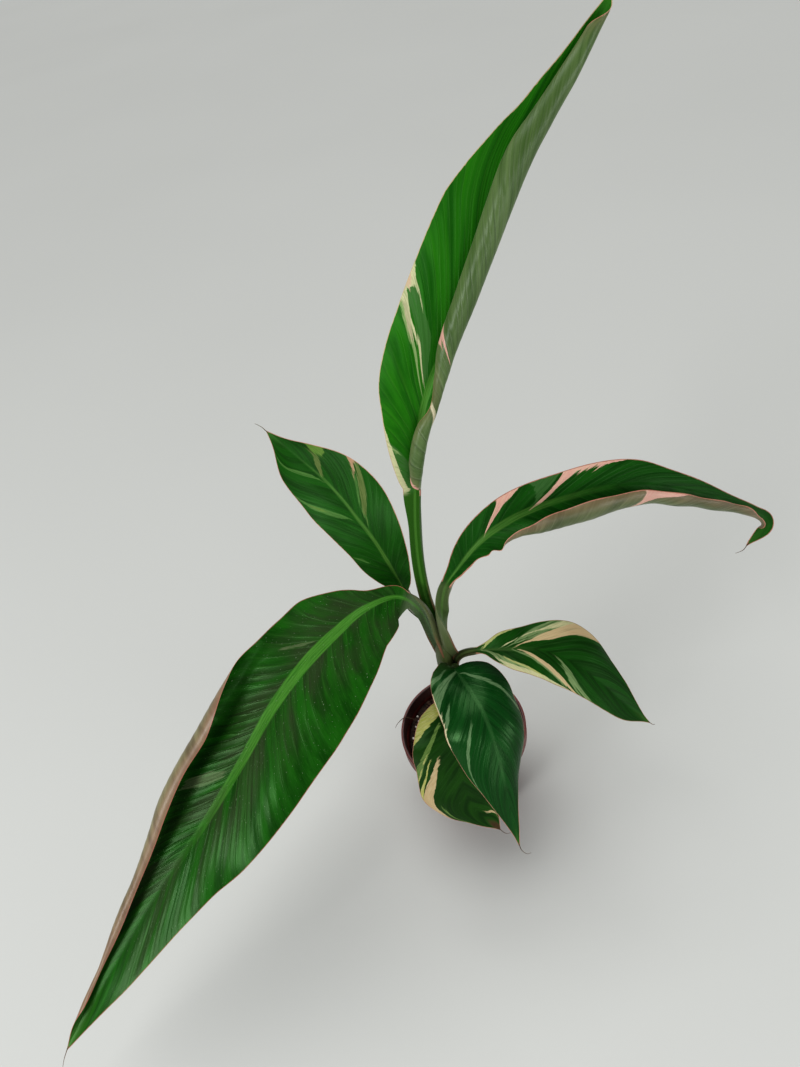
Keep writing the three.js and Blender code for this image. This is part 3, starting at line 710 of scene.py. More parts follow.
    # What the finish reads.
    along = np.where(petiole < 1, -(1 - petiole) * start * length, along + thread * thread_length)
    corner = np.array([loop.vertex_index for loop in mesh.loops])
    veins = mesh.uv_layers.new(name="veins")
    veins.data.foreach_set("uv", np.stack([side * reach, along], 1)[corner].ravel())
    margin = np.where(is_thread, 0, width - reach + 9 * (1 - flare))
    depths = {tint: np.full(len(flat), FAR_OUTSIDE) for tint in TINTS}
    for here, key in ((side < 0, "left_streaks"), (side > 0, "right_streaks")):
        for tint, *points in leaf.get(key, ()):
            found = streak_depth(points, share, vein, width, blade_length)
            depths[tint] = np.maximum(depths[tint], np.where(here & (flare > 0), found, FAR_OUTSIDE))
    papery = smooth_step(petiole, 0.55, 0.2) * smooth_step(width - reach, 1.5, 0.5) * (petiole < 1)
    for key, values in {"margin": margin, "papery": papery, **depths}.items():
        mesh.attributes.new(key, "FLOAT", "POINT").data.foreach_set("value", values)
    below = under[corner].reshape(-1, 4).sum(1)
    stalk = (petiole < 1)[corner].reshape(-1, 4).any(1)
    mesh.polygons.foreach_set("material_index", np.select([below == 0, (below == 4) | stalk], [0, 1], 2))
    return smoothed(blank, 60), blade_length


def blade_pattern():
    """A node group that colours a blade by its vein map: greens in fine strands, lateral veins with a
    painted highlight and painted shade beside each, midrib, petiole with a painted highlight down its
    middle, the tinted streaks with their feathered ends, dust, the margin line and the dry tip."""
    tree = bpy.data.node_groups.new("blade_pattern", "ShaderNodeTree")
    for key in UPPER_PAINTS:
        tree.interface.new_socket(key, in_out="INPUT", socket_type="NodeSocketColor")
    for key in ("Length", *LEAF_MEASURES):
        tree.interface.new_socket(key, in_out="INPUT", socket_type="NodeSocketFloat")
    tree.interface.new_socket("Colour", in_out="OUTPUT", socket_type="NodeSocketColor")
    for key in ("Roughness", "Height"):
        tree.interface.new_socket(key, in_out="OUTPUT", socket_type="NodeSocketFloat")
    given = tree.nodes.new("NodeGroupInput").outputs
    times, plus, less, mix, fade = brushes(tree)
    place = put(tree, "UVMap", uv_map="veins").outputs[0]

    def attribute(key):
        return put(tree, "Attribute", attribute_name=key).outputs["Fac"]

    def drawn_along(length_scale, scale, detail):
        longer = put(tree, "Mapping", {0: place, 3: (length_scale, 1, 1)}).outputs[0]
        return grain(tree, longer, scale, detail)

    split = put(tree, "SeparateXYZ", {0: place}).outputs
    reach = maths(tree, "ABSOLUTE", split[0])
    along = split[1]
    travelled = maths(tree, "DIVIDE", along, given["Length"])
    strands = drawn_along(0.07, 0.9, 4.0)
    hairs = drawn_along(0.05, 3.2, 2.0)
    feather = drawn_along(0.09, 0.5, 5.0)
    broad = drawn_along(0.3, 0.09, 3.0)

    colour = mix(fade(broad, 0.35, 0.65), given["Green"], given["Deep"])
    colour = mix(times(fade(strands, 0.4, 0.7), given["Strands"]), colour, given["Deep"])
    colour = mix(times(fade(hairs, 0.5, 0.72), given["Veining"], 0.7), colour, given["Vein"])
    colour = mix(times(fade(travelled, 0.84, 1.0), 0.8), colour, given["Tip"])
    lengthwise = grain(tree, put(tree, "Mapping", {0: place, 3: (1, 0.03, 1)}).outputs[0], 1.6, 3.0)
    taper = maths(tree, "POWER", less(1.0, travelled, clamp=True), 0.7)
    swell = times(fade(travelled, -0.02, 0.2), 1.35)
    taper = times(taper, plus(swell, 0.35))
    side_of_rib = less(times(given["Rib width"], taper), reach)
    rib = times(fade(side_of_rib, -0.7, 0.5), given["Rib share"])
    stalk = fade(along, 3.0, -5.0)

    # Each main lateral vein is a light line beside a dark one. The light line is partly the vein's own
    # lighter colour and partly a painted highlight on the pleat's crest; the dark line is painted shade
    # in the pleat's valley.
    wander = times(drawn_along(0.15, 0.12, 2.0), 6.0)
    turn = plus(times(maths(tree, "DIVIDE", along, given["Pleat"]), math.pi), wander)
    crest = maths(tree, "POWER", maths(tree, "ABSOLUTE", maths(tree, "COSINE", turn)), VEIN_SHARPNESS)
    beside = maths(tree, "COSINE", plus(turn, 0.34))
    trough = maths(tree, "POWER", maths(tree, "ABSOLUTE", beside), VEIN_SHARPNESS)
    beside_rib = less(1.0, maths(tree, "MAXIMUM", rib, stalk))
    near = times(fade(reach, 50.0, 2.0), given["Veining"], times(feather, 2.0), beside_rib)
    near = times(near, fade(travelled, 0.85, 0.4))
    colour = mix(times(crest, near, clamp=True), colour, given["Vein"])
    # Painted shade in the pleat's valley.
    painted_valley_shade = times(times(trough, near), 1.2, clamp=True)
    colour = mix(painted_valley_shade, colour, paint(8, 30, 6))
    patches = fade(grain(tree, place, 0.024, 2.0), 0.34, 0.58)
    dusky = times(patches, fade(reach, 42.0, 10.0))
    streaked = plus(times(strands, 0.7), fade(broad, 0.2, 0.7))
    dusky = times(dusky, streaked, clamp=True)
    dusky = times(dusky, fade(travelled, 0.85, 0.6), given["Dusk share"])
    colour = mix(dusky, colour, given["Dusk"])
    from_margin = plus(attribute("margin"), times(broad, 7.0))
    blush = fade(from_margin, 12.0, 4.0)
    colour = mix(times(blush, given["Blush"]), colour, given["Dusk"])
    stalk_colour = mix(times(lengthwise, 0.5), given["Petiole"], given["Deep"])
    # A painted highlight down the middle of the petiole, in the midrib's light green.
    painted_stalk_highlight = times(fade(reach, 1.4, 0.4), 0.4)
    stalk_colour = mix(painted_stalk_highlight, stalk_colour, given["Rib"])
    stalk_colour = mix(attribute("papery"), stalk_colour, paint(140, 98, 76))
    colour = mix(stalk, colour, stalk_colour)

    ragged = times(less(feather, 0.5), 4.0)
    ragged = plus(ragged, times(less(hairs, 0.5), 2.2))
    plain = fade(strands, 0.5, 0.68)
    on_blade = fade(along, -6.0, 1.0)
    shows = {"Grey": 0.5, "Pale": 0.6, "Yellow": 0.35, "Cream": 0.3, "Beige": 0.3, "Pink": 0.1}
    lines = {"Grey": "Green", "Pale": "Green", "Cream": "Pale"}
    for tint, shown in shows.items():
        inside = fade(plus(attribute(tint.lower()), ragged), -0.2, 0.3)
        kept = less(on_blade, times(plain, shown), clamp=True)
        lined = times(fade(hairs, 0.42, 0.62), 0.4)
        shade = mix(lined, given[tint], given[lines.get(tint, "Cream")])
        colour = mix(times(inside, kept), colour, shade)

    faded = less(given["Rib end"], travelled)
    rib = times(rib, times(fade(faded, -0.12, 0.3), 0.94), less(1.0, stalk))
    rib_lines = times(fade(lengthwise, 0.42, 0.62), 0.6)
    colour = mix(rib, colour, mix(rib_lines, given["Rib"], given["Green"]))

    specks = fade(grain(tree, place, 1.1, 1.0), 0.72, 0.76)
    colour = mix(times(specks, given["Dust"]), colour, paint(168, 176, 156))
    uneven = times(given["Edge width"], times(feather, 2.0))
    line = fade(less(uneven, attribute("margin")), -0.12, 0.12)
    colour = mix(line, colour, given["Edge"])
    from_tip = less(given["Length"], along)
    from_tip = plus(from_tip, times(ragged, 0.8))
    dried = fade(maths(tree, "DIVIDE", from_tip, given["Dry tip"]), 1.3, 0.6)
    colour = mix(dried, colour, mix(strands, paint(86, 60, 42), paint(46, 32, 22)))

    result = tree.nodes.new("NodeGroupOutput").inputs
    tree.links.new(colour, result["Colour"])
    tree.links.new(times(strands, 0.16), result["Roughness"])
    steps = times(less(crest, trough), near)
    grooves = plus(strands, times(hairs, 0.4))
    grooves = times(grooves, fade(travelled, 0.8, 0.5))
    rise = plus(times(steps, 10.0), grooves)
    tree.links.new(times(rise, 0.03), result["Height"])
    return tree


# Measures of the pattern: the spacing of the main veins, how strongly they show, half of the midrib's
# breadth, how strongly it shows and where it fades, how dusky the middle and the margin are, the
# breadth of the margin line, how dusty the leaf is, the length of its dry tip, and how strongly its
# dark strands show.
LEAF_MEASURES = (
    "Pleat", "Veining", "Rib width", "Rib share", "Rib end", "Dusk share", "Blush", "Edge width",
    "Dust", "Dry tip", "Strands",
)


def paints(**tones):
    """Tones as linear colours. A plain number is a measure of the pattern and stays as it is."""
    return {key: paint(*tone) if isinstance(tone, tuple) else tone for key, tone in tones.items()}


UPPER_PAINTS = paints(
    Green=(30, 80, 22), Deep=(16, 56, 11), Vein=(60, 108, 48), Rib=(84, 124, 54),
    Petiole=(88, 104, 64), Edge=(186, 134, 116), Dusk=(64, 62, 44), Tip=(50, 96, 32),
    Grey=(66, 104, 56), Pale=(126, 146, 100), Yellow=(170, 168, 94), Cream=(214, 205, 168),
    Beige=(186, 160, 120), Pink=(212, 158, 146),
)
UNDER_PAINTS = paints(
    Green=(118, 126, 88), Deep=(78, 92, 54), Vein=(150, 156, 124), Rib=(124, 138, 88),
    Petiole=(98, 110, 70), Edge=(176, 120, 100), Dusk=(140, 102, 84), Tip=(104, 116, 72),
    Grey=(122, 134, 100), Pale=(150, 158, 124), Yellow=(174, 166, 112), Cream=(208, 196, 164),
    Beige=(186, 156, 128), Pink=(206, 152, 140), Veining=0.3, Blush=0.4, Dust=0.0,
)
BLADE_PATTERN = blade_pattern()


def leaf_finish(name, tones, leaf, length, roughness, specular, tint=GLOSS_TINT, sheen=0.0):
    material, tree, _ = new_finish(name)
    values = {"Length": length, **dict(zip(LEAF_MEASURES, leaf["look"])), **tones}
    pattern = put(tree, "Group", values, node_tree=BLADE_PATTERN).outputs
    more = {
        "Specular IOR Level": specular, "Specular Tint": tint,
        "Sheen Weight": sheen, "Sheen Roughness": 0.4,
    }
    rough = maths(tree, "ADD", pattern["Roughness"], roughness)
    return coat(material, pattern["Colour"], rough, pattern["Height"], MM, more)


def plant_leaf(name, node, slot, upper, under=(), **leaf):
    """Grows a leaf, gives its upper face, underside and cut edge their finishes, and seats it."""
    piece, length = grown_leaf(name, leaf)
    top = leaf_finish(name + "_upper", {**UPPER_PAINTS, **paints(**upper)}, leaf, length, *leaf["gloss"])
    soft = {**UNDER_PAINTS, "Dusk share": 0.0, **paints(**dict(under))}
    low = leaf_finish(name + "_under", soft, leaf, length, *UNDER_GLOSS)
    edge, tree, place = new_finish(name + "_margin")
    tone = blend(tree, grain(tree, place, 300.0), paint(176, 120, 100), paint(210, 170, 148))
    for material in (top, low, coat(edge, tone, 0.6)):
        piece.data.materials.append(material)
    finish_piece(piece, None, slot, node)


plant_leaf(
    "lowest_leaf", "leaf_low", "leaf_yellow",
    path=[
        (0, -5, 122), (-1, -12, 143), (-6, -17, 161), (-7, -30, 163), (-9, -45, 149), (-11, -59, 121),
        (-8, -70, 90), (8, -82, 66),
    ],
    thread=[(8, -82, 66), (12, -84, 61), (17, -84, 60)],
    facing=[(0, 0, -0.6, 1), (0.3, -0.1, -0.5, 1), (1, 0, -1, 0.4)],
    stations=[
        (0, 8, 30, 0, 8, 30, 0), (0.05, 15, 15, -10, 20, 15, -10), (0.12, 21, 15, -30, 27, 10, -20),
        (0.2, 25.5, 10, -40, 31.5, 10, -30), (0.3, 28, 10, -40, 34, 10, -30),
        (0.45, 30, 5, -50, 36.5, 5, -40), (0.55, 29, 5, -50, 37.5, 5, -40),
        (0.65, 27, 5, -40, 36, 5, -40), (0.74, 24, 5, -40, 26.5, 5, -40),
        (0.82, 19, 5, -20, 14, 5, -20), (0.93, 8, 5, 0, 5, 5, 0),
    ],
    petiole=(4, 2.8, 2.8), petiole_share=0.2, blade_from=0.27, flare_from=0.86, rib_scale=0.7,
    sweep=(3.0, 0.9), rows=200, columns=34, seed=3.1, sway=0.9, pleat_height=0.15,
    ripple=((1, 2, 0), (1.2, 3, 0.2)), gloss=(0.3, 0.2),
    look=(5.5, 0.12, 1.2, 0.1, 0.5, 0, 0, 0.4, 0.1, 13, 0.4),
    left_streaks=[
        ("beige", (0.3, 0.8, 1), (0.6, 0.74, 2), (0.8, 0.7, 1)),
        ("beige", (0.6, 0.5, 0.5), (0.85, 0.52, 2.5), (1, 0.53, 4)),
        ("pale", (0.3, 0.2, 0.5), (0.6, 0.23, 2), (1, 0.25, 2.5)),
    ],
    right_streaks=[
        ("yellow", (0.2, 0.02, 1), (0.4, 0.035, 2), (0.75, 0.04, 4.5), (1, 0.04, 8)),
        ("pale", (0.38, 0.086, 1.5), (0.57, 0.134, 2.6), (0.84, 0.195, 3.4), (1, 0.21, 3.2)),
        ("beige", (0.45, 0.25, 3), (0.6, 0.309, 5.6), (0.89, 0.349, 6.6), (1, 0.35, 6)),
        ("yellow", (0.62, 0.203, 0.9), (0.79, 0.258, 1.6), (1, 0.295, 2.8)),
        ("yellow", (0.69, 0.169, 0.4), (0.81, 0.201, 0.6), (1, 0.235, 1.4)),
        ("pale", (0.72, 0.45, 2), (0.9, 0.47, 1.5), (1, 0.48, 2)),
    ],
    upper=dict(Green=(28, 68, 12), Deep=(10, 42, 3), Yellow=(172, 174, 88), Pale=(112, 138, 74)),
)

# Front leaf: short, broad and glossy, blue-green, hanging forwards over the rim. Its halves arch down
# from the midrib, and pale streaks run along its lateral veins.
plant_leaf(
    "front_leaf", "leaf_front", "leaf_glossy",
    path=[
        (1, -4, 174), (3, -9, 187), (3, -14, 192), (6, -26, 196), (10, -41, 197), (14, -55, 194),
        (16, -68, 186), (17, -80, 172), (17, -91, 156), (17, -101, 138), (17, -117, 110),
    ],
    thread=[(17, -117, 110), (18, -119, 105), (21, -121, 102), (24, -121, 102)],
    facing=[(0, 0, -0.5, 1), (0.2, 0, -0.3, 1), (1, 0.1, -1, 0.5)],
    stations=[
        (0, 5, 20, 0, 12, 20, 0), (0.02, 9, 15, -15, 19, 15, -15), (0.08, 24, 10, -40, 25.5, 10, -40),
        (0.2, 31, 5, -50, 31, 5, -50), (0.3, 33, 0, -60, 32.5, 5, -50),
        (0.4, 31.5, 0, -60, 33, 5, -50), (0.5, 27.5, 0, -60, 31.5, 5, -50),
        (0.6, 22, -5, -60, 26.5, 5, -40), (0.7, 14, -5, -50, 17.5, 5, -30),
        (0.8, 6.5, 0, -30, 10.5, 5, -20), (0.93, 2.4, 5, 0, 3.1, 5, 0),
    ],
    petiole=(4.5, 3.4, 3), petiole_share=0.1, blade_from=0.11, flare_from=0.8, rib_scale=0.75,
    sweep=(3.0, 1.0), rows=200, columns=36, seed=5.7, sway=0.8, pleat_height=0.16,
    ripple=((0.8, 2.5, 0), (1, 2.5, 0.3)), gloss=(0.2, 0.28),
    look=(5, 0.2, 1, 0.5, 0.7, 0, 0, 0.3, 0.1, 2.5, 0.3),
    left_streaks=[
        ("pale", (0.1, 0.061, 1.1), (0.33, 0.089, 2), (0.58, 0.105, 1.7), (1, 0.14, 0.7)),
    ],
    right_streaks=[
        ("pale", (0, 0.038, 1), (0.37, 0.04, 2.1), (0.69, 0.041, 2.6), (1, 0.045, 3)),
        ("pale", (0.62, 0.093, 0.8), (0.86, 0.099, 1.8), (1, 0.117, 1.2)),
        ("pale", (0.36, 0.237, 1.2), (0.54, 0.252, 2.4), (0.79, 0.284, 1.8), (1, 0.33, 1)),
        ("pale", (0.4, 0.003, 0.5), (0.6, 0.012, 0.6), (1, 0.014, 1)),
        ("cream", (0.95, 0.1, 4), (0.97, 0.1, 14), (1, 0.12, 24)),
    ],
    upper=dict(
        Green=(14, 68, 22), Deep=(7, 48, 14), Vein=(42, 92, 46), Rib=(62, 100, 58),
        Pale=(104, 132, 94),
    ),
)

# Lower right leaf: small and drooping, with a cream and peach fan above its midrib and long stripes
# below it.
plant_leaf(
    "lower_right_leaf", "leaf_lower_right", "leaf_cream",
    path=[
        (4, -4, 178), (7, -5, 192), (14, -9, 202), (27, -15, 208), (46, -23, 211), (65, -27, 208),
        (86, -37, 197), (103, -49, 180), (118, -60, 161), (132, -67, 144),
    ],
    thread=[(132, -67, 144), (134, -68, 142), (136, -68, 141)],
    facing=[(0, -0.5, -0.5, 0.8), (0.26, -0.1, -0.3, 1), (1, 0.3, -0.4, 0.9)],
    stations=[
        (0, 2.2, 40, 0, 2.6, 40, 0), (0.05, 5.6, 30, -10, 4.6, 30, -20),
        (0.12, 12.4, 30, -10, 12, 30, -20), (0.25, 18, 20, -30, 19.4, 20, -40),
        (0.35, 24.5, 20, -30, 21, 20, -40), (0.45, 29.5, 15, -40, 20.5, 10, -40),
        (0.55, 27.5, 15, -40, 19, 10, -40), (0.65, 23, 10, -35, 16.5, 10, -35),
        (0.75, 16, 10, -35, 14.2, 10, -35), (0.85, 9, 10, -20, 11, 10, -20),
        (0.95, 2.5, 10, 0, 3.5, 10, 0),
    ],
    petiole=(4.6, 1.8, 2.6), petiole_share=0.14, blade_from=0.2, flare_from=0.86, rib_scale=0.7,
    sweep=(3.0, 1.0), rows=200, columns=32, seed=8.3, sway=0.7, pleat_height=0.15,
    ripple=((1.2, 2.5, 0.2), (0.8, 3, 0)), gloss=(0.34, 0.2),
    look=(5, 0.2, 1.2, 0.5, 0.25, 0, 0, 0.35, 0.05, 2, 0.4),
    left_streaks=[
        ("yellow", (0.5, 0.02, 1), (0.8, 0.03, 1.5), (1, 0.035, 6)),
        ("cream", (0.29, 0.104, 0.9), (0.53, 0.116, 0.9), (0.69, 0.148, 1.5), (1, 0.18, 4.5)),
        ("beige", (0.2, 0.16, 1), (0.36, 0.205, 4.2), (0.54, 0.203, 5.2), (1, 0.21, 5.4)),
        ("pale", (0.25, 0.125, 1.4), (0.4, 0.16, 2.2), (0.57, 0.169, 1.1), (0.78, 0.183, 0.6)),
        ("pale", (0.3, 0.11, 1.5), (0.6, 0.14, 4), (1, 0.17, 6)),
    ],
    right_streaks=[
        ("pale", (0.2, 0.03, 2.2), (0.49, 0.07, 1.5), (0.79, 0.1, 1.6), (1, 0.13, 1.4)),
        ("yellow", (0.5, 0.075, 0.9), (0.68, 0.096, 1.4), (0.83, 0.123, 2.4), (1, 0.19, 2.1)),
        ("cream", (0.72, 0.05, 1), (0.84, 0.08, 5), (0.92, 0.12, 9), (1, 0.14, 16)),
        ("pale", (0.25, 0.03, 2), (0.6, 0.07, 4), (1, 0.09, 6)),
        ("pale", (0.04, 0.178, 1), (0.28, 0.174, 1.8), (0.5, 0.184, 2.1), (0.85, 0.22, 1.8)),
        ("beige", (0.03, 0.205, 1.2), (0.3, 0.196, 2.2), (0.6, 0.217, 3.4), (1, 0.25, 1.5)),
        ("pale", (0.08, 0.37, 1.2), (0.31, 0.345, 2.6), (0.59, 0.31, 3.2), (1, 0.3, 2)),
        ("pale", (0.39, 0.312, 0.8), (0.67, 0.28, 1.2), (0.9, 0.272, 1.2)),
    ],
    upper=dict(
        Tip=(60, 100, 34), Green=(20, 72, 12), Deep=(10, 46, 4), Rib=(96, 118, 68),
        Cream=(196, 190, 148), Beige=(192, 166, 128), Yellow=(160, 164, 100), Edge=(150, 118, 88),
        Petiole=(58, 58, 34),
    ),
    under=dict(Petiole=(62, 56, 36)),
)

# Lower left leaf: the largest one, arching down to the left, its far margin rolled up and over. It has
# strong lateral pleats, a broad light midrib, and a dusky cast beside it.
plant_leaf(
    "lower_left_leaf", "leaf_lower_left", "leaf_dusky",
    path=[
        (-2, 0, 190), (-6, 0, 215), (-11, -1, 250), (-24, 3, 266), (-47, -5, 272), (-71, -14, 265),
        (-97, -24, 252), (-126, -39, 233), (-157, -60, 208), (-187, -79, 185), (-218, -94, 160),
        (-250, -112, 136), (-284, -137, 112), (-321, -169, 88),
    ],
    thread=[(-321, -169, 88), (-325, -173, 83), (-328, -177, 78)],
    facing=[(0, -1, -0.5, 0.3), (0.2, -0.2, -0.6, 1), (0.5, -0.4, -0.5, 1), (1, -0.5, -0.7, 0.8)],
    stations=[
        (0, 14, 15, 0, 5, 20, 0), (0.015, 18, 5, -10, 8, 0, 0), (0.06, 27, 0, -20, 11, -5, 0),
        (0.1, 33, 0, -25, 22, 0, 10), (0.15, 42, 0, -25, 33, 0, 10), (0.2, 48, 0, -25, 35, 0, 15, 0.3),
        (0.25, 51, 0, -25, 38, 5, 50, 0.6), (0.31, 52.5, 0, -25, 49, 5, 140, 0.5),
        (0.4, 50.5, 5, -25, 57, 5, 200, 0.48), (0.48, 47, 5, -25, 58, 5, 200, 0.48),
        (0.55, 42.5, 5, -20, 54, 5, 210, 0.48), (0.62, 35.5, 5, -20, 44, 5, 210, 0.45),
        (0.7, 30, 5, -15, 34, 5, 220, 0.45), (0.78, 24.5, 5, -15, 24, 5, 220, 0.4),
        (0.85, 18.5, 8, -10, 17, 5, 220, 0.4), (0.93, 9, 10, 0, 9, 10, 180, 0.3),
    ],
    petiole=(6, 4.2, 3.4), petiole_share=0.09, blade_from=0.16, flare_from=0.92, rib_scale=1.25,
    sweep=(1.56, 1.4), rows=460, columns=44, seed=1.9, sway=1.2, pleat_height=0.2,
    ripple=((1.2, 4, 0.2), (0.8, 5, 0)), gloss=(0.2, 0.15),
    look=(7.5, 0.36, 2.8, 0.9, 0.6, 0.7, 0, 0.45, 0.5, 3, 0.25),
    right_streaks=[
        ("grey", (0.12, 0.43, 3), (0.28, 0.424, 6), (0.5, 0.421, 4)),
        ("grey", (0.16, 0.16, 1), (0.3, 0.165, 1.6), (0.55, 0.17, 1)),
    ],
    upper=dict(
        Dusk=(50, 58, 38), Green=(28, 88, 16), Deep=(15, 60, 8), Vein=(62, 112, 44), Rib=(80, 134, 52),
        Petiole=(92, 108, 78), Edge=(136, 90, 72), Grey=(88, 98, 70), Tip=(60, 104, 40),
    ),
    under=dict(
        Green=(126, 122, 88), Deep=(96, 86, 62), Vein=(160, 154, 124), Edge=(156, 100, 82), Blush=0.6,
    ),
)

# Upper right leaf: long, arching over to the right, its near half rolled up, its tip hooked down. Pink
# streaks run from its upper margin to the midrib.
plant_leaf(
    "upper_right_leaf", "leaf_upper_right", "leaf_pink",
    path=[
        (4, 1, 192), (2, -3, 214), (3, -3, 246), (9, -2, 269), (20, -1, 284), (38, 0, 303),
        (56, 1, 313), (75, 2, 318), (93, 3, 319), (119, 4, 319), (148, 6, 313), (176, 7, 299),
        (207, 8, 279), (232, 9, 259), (243, 8, 241), (231, 6, 225),
    ],
    thread=[(231, 6, 225), (228, 5, 222), (222, 4, 222)],
    facing=[(0, 0.9, 0.3, 0.3), (0.27, -0.2, -0.5, 0.8), (1, 0.1, -0.6, 0.8)],
    stations=[
        (0, 4, 40, 0, 4, 40, 0), (0.03, 6, 30, 0, 5, 20, 20), (0.08, 10.5, 30, 0, 7, 10, 30),
        (0.15, 14, 20, -5, 14.5, 0, 60), (0.22, 16.5, 20, -10, 26, -10, 130, 0.1),
        (0.3, 17, 20, -10, 35, -15, 190, 0.2), (0.42, 17.5, 15, -20, 36, -15, 200, 0.2),
        (0.52, 16, 15, -20, 29, -15, 200, 0.2), (0.6, 11.5, 15, -20, 27, -15, 200, 0.2),
        (0.7, 7.5, 15, -20, 23, -15, 200, 0.2), (0.8, 3.5, 15, -10, 16, -10, 200, 0.2),
        (0.87, 3.5, 15, -10, 10, -10, 150, 0.2), (0.93, 6.5, 20, 0, 6, 0, 90, 0.1),
    ],
    petiole=(7.4, 4.2, 3.4), petiole_share=0.16, blade_from=0.22, flare_from=0.9, rib_scale=1,
    sweep=(1.6, 1.17), rows=340, columns=40, seed=4.4, sway=0.8, pleat_height=0.22,
    ripple=((0.8, 5, 0), (1, 9, 0.3)), frill=(1, 0.02, 0.32, 1.3, 9), gloss=(0.34, 0.2),
    look=(6, 0.22, 1.5, 0.85, 0.42, 0, 0, 0.5, 0.1, 3, 0.4),
    left_streaks=[
        ("pink", (0.86, 0.3, 6), (0.93, 0.3, 14), (1, 0.295, 17)),
        ("cream", (0.86, 0.27, 1), (0.92, 0.285, 4), (0.96, 0.29, 4)),
        ("pink", (0.15, 0.143, 0.9), (0.43, 0.148, 1.6), (0.76, 0.155, 3.2), (1, 0.157, 5.5)),
        ("pink", (0.02, 0.262, 0.8), (0.1, 0.268, 2.2), (0.5, 0.261, 2.1), (1, 0.257, 4.6)),
        ("grey", (0.2, 0.252, 0.5), (0.45, 0.238, 2.5), (0.7, 0.226, 5), (1, 0.211, 7.4)),
    ],
    right_streaks=[
        ("pink", (0.62, 0.37, 0.5), (0.78, 0.38, 4), (0.94, 0.4, 12), (1, 0.405, 16)),
    ],
    upper=dict(Green=(24, 82, 16), Deep=(12, 60, 7), Edge=(166, 114, 98)),
    under=dict(Green=(102, 112, 74), Deep=(68, 80, 44)),
)

# Upper left leaf: mid-sized and nearly flat, pointing up to the left and back, dark with olive, pink
# and pale streaks.
plant_leaf(
    "upper_left_leaf", "leaf_upper_left", "leaf_dark",
    path=[
        (-2, 6, 190), (-6, 10, 220), (-17, 16, 238), (-18, 20, 247), (-24, 32, 266), (-31, 43, 286),
        (-39, 55, 300), (-45, 64, 310), (-54, 76, 322), (-68, 90, 336), (-86, 106, 354),
    ],
    thread=[(-86, 106, 354), (-89, 109, 357), (-93, 112, 359)],
    facing=[(0, -0.6, -0.8, 0.5), (0.38, -0.5, -0.85, 0.6), (1, -0.3, -0.85, 0.5)],
    stations=[
        (0, 3, 40, 0, 4, 40, 0), (0.03, 7, 25, -10, 9, 25, -10), (0.1, 14, 20, -10, 14.5, 20, -10),
        (0.2, 21.5, 15, -15, 20, 15, -15), (0.4, 25, 10, -15, 29, 10, -15),
        (0.6, 28, 10, -15, 28, 10, -15), (0.8, 21, 10, -10, 14, 10, -10),
        (0.93, 6.5, 10, 0, 4.2, 10, 0),
    ],
    petiole=(4.5, 3, 3), petiole_share=0.2, blade_from=0.3, flare_from=0.86, rib_scale=0.75,
    sweep=(2.6, 1.0), rows=220, columns=34, seed=6.6, sway=0.8, pleat_height=0.15,
    ripple=((1, 2.5, 0.1), (1, 3, 0.4)), gloss=(0.34, 0.2),
    look=(5, 0.2, 1, 0.8, 0.8, 0, 0, 0.35, 0.1, 2, 0.4),
    left_streaks=[
        ("pale", (0.06, 0.63, 1.2), (0.14, 0.66, 2.6), (0.34, 0.667, 3), (0.95, 0.633, 1)),
        ("pale", (0.21, 0.373, 0.8), (0.44, 0.353, 3.2), (0.8, 0.35, 2.9), (1, 0.39, 1.6)),
        ("yellow", (0.55, 0.355, 0.8), (0.66, 0.354, 1.4), (0.76, 0.353, 0.8)),
        ("pale", (0.44, 0.107, 0.4), (0.67, 0.11, 0.9), (0.92, 0.114, 0.5)),
    ],
    right_streaks=[
        ("yellow", (0.64, 0.54, 4), (0.8, 0.5, 7), (1, 0.455, 6)),
        ("beige", (0.03, 0.668, 1.5), (0.24, 0.647, 3.2), (0.55, 0.58, 3)),
        ("pink", (0.66, 0.355, 0.5), (0.84, 0.334, 1.2), (1, 0.32, 2)),
        ("beige", (0.24, 0.34, 2.4), (0.43, 0.33, 3.4), (0.7, 0.313, 2.8), (0.95, 0.305, 1.4)),
        ("pale", (0.16, 0.33, 1), (0.22, 0.341, 3.4), (0.34, 0.352, 1)),
        ("pale", (0.3, 0.368, 1.2), (0.53, 0.354, 1.4), (0.7, 0.35, 1.4)),
    ],
    upper=dict(
        Green=(26, 84, 14), Deep=(14, 58, 5), Pale=(84, 122, 62), Yellow=(78, 120, 34),
        Pink=(180, 134, 114), Cream=(150, 150, 100), Beige=(84, 102, 50),
    ),
)

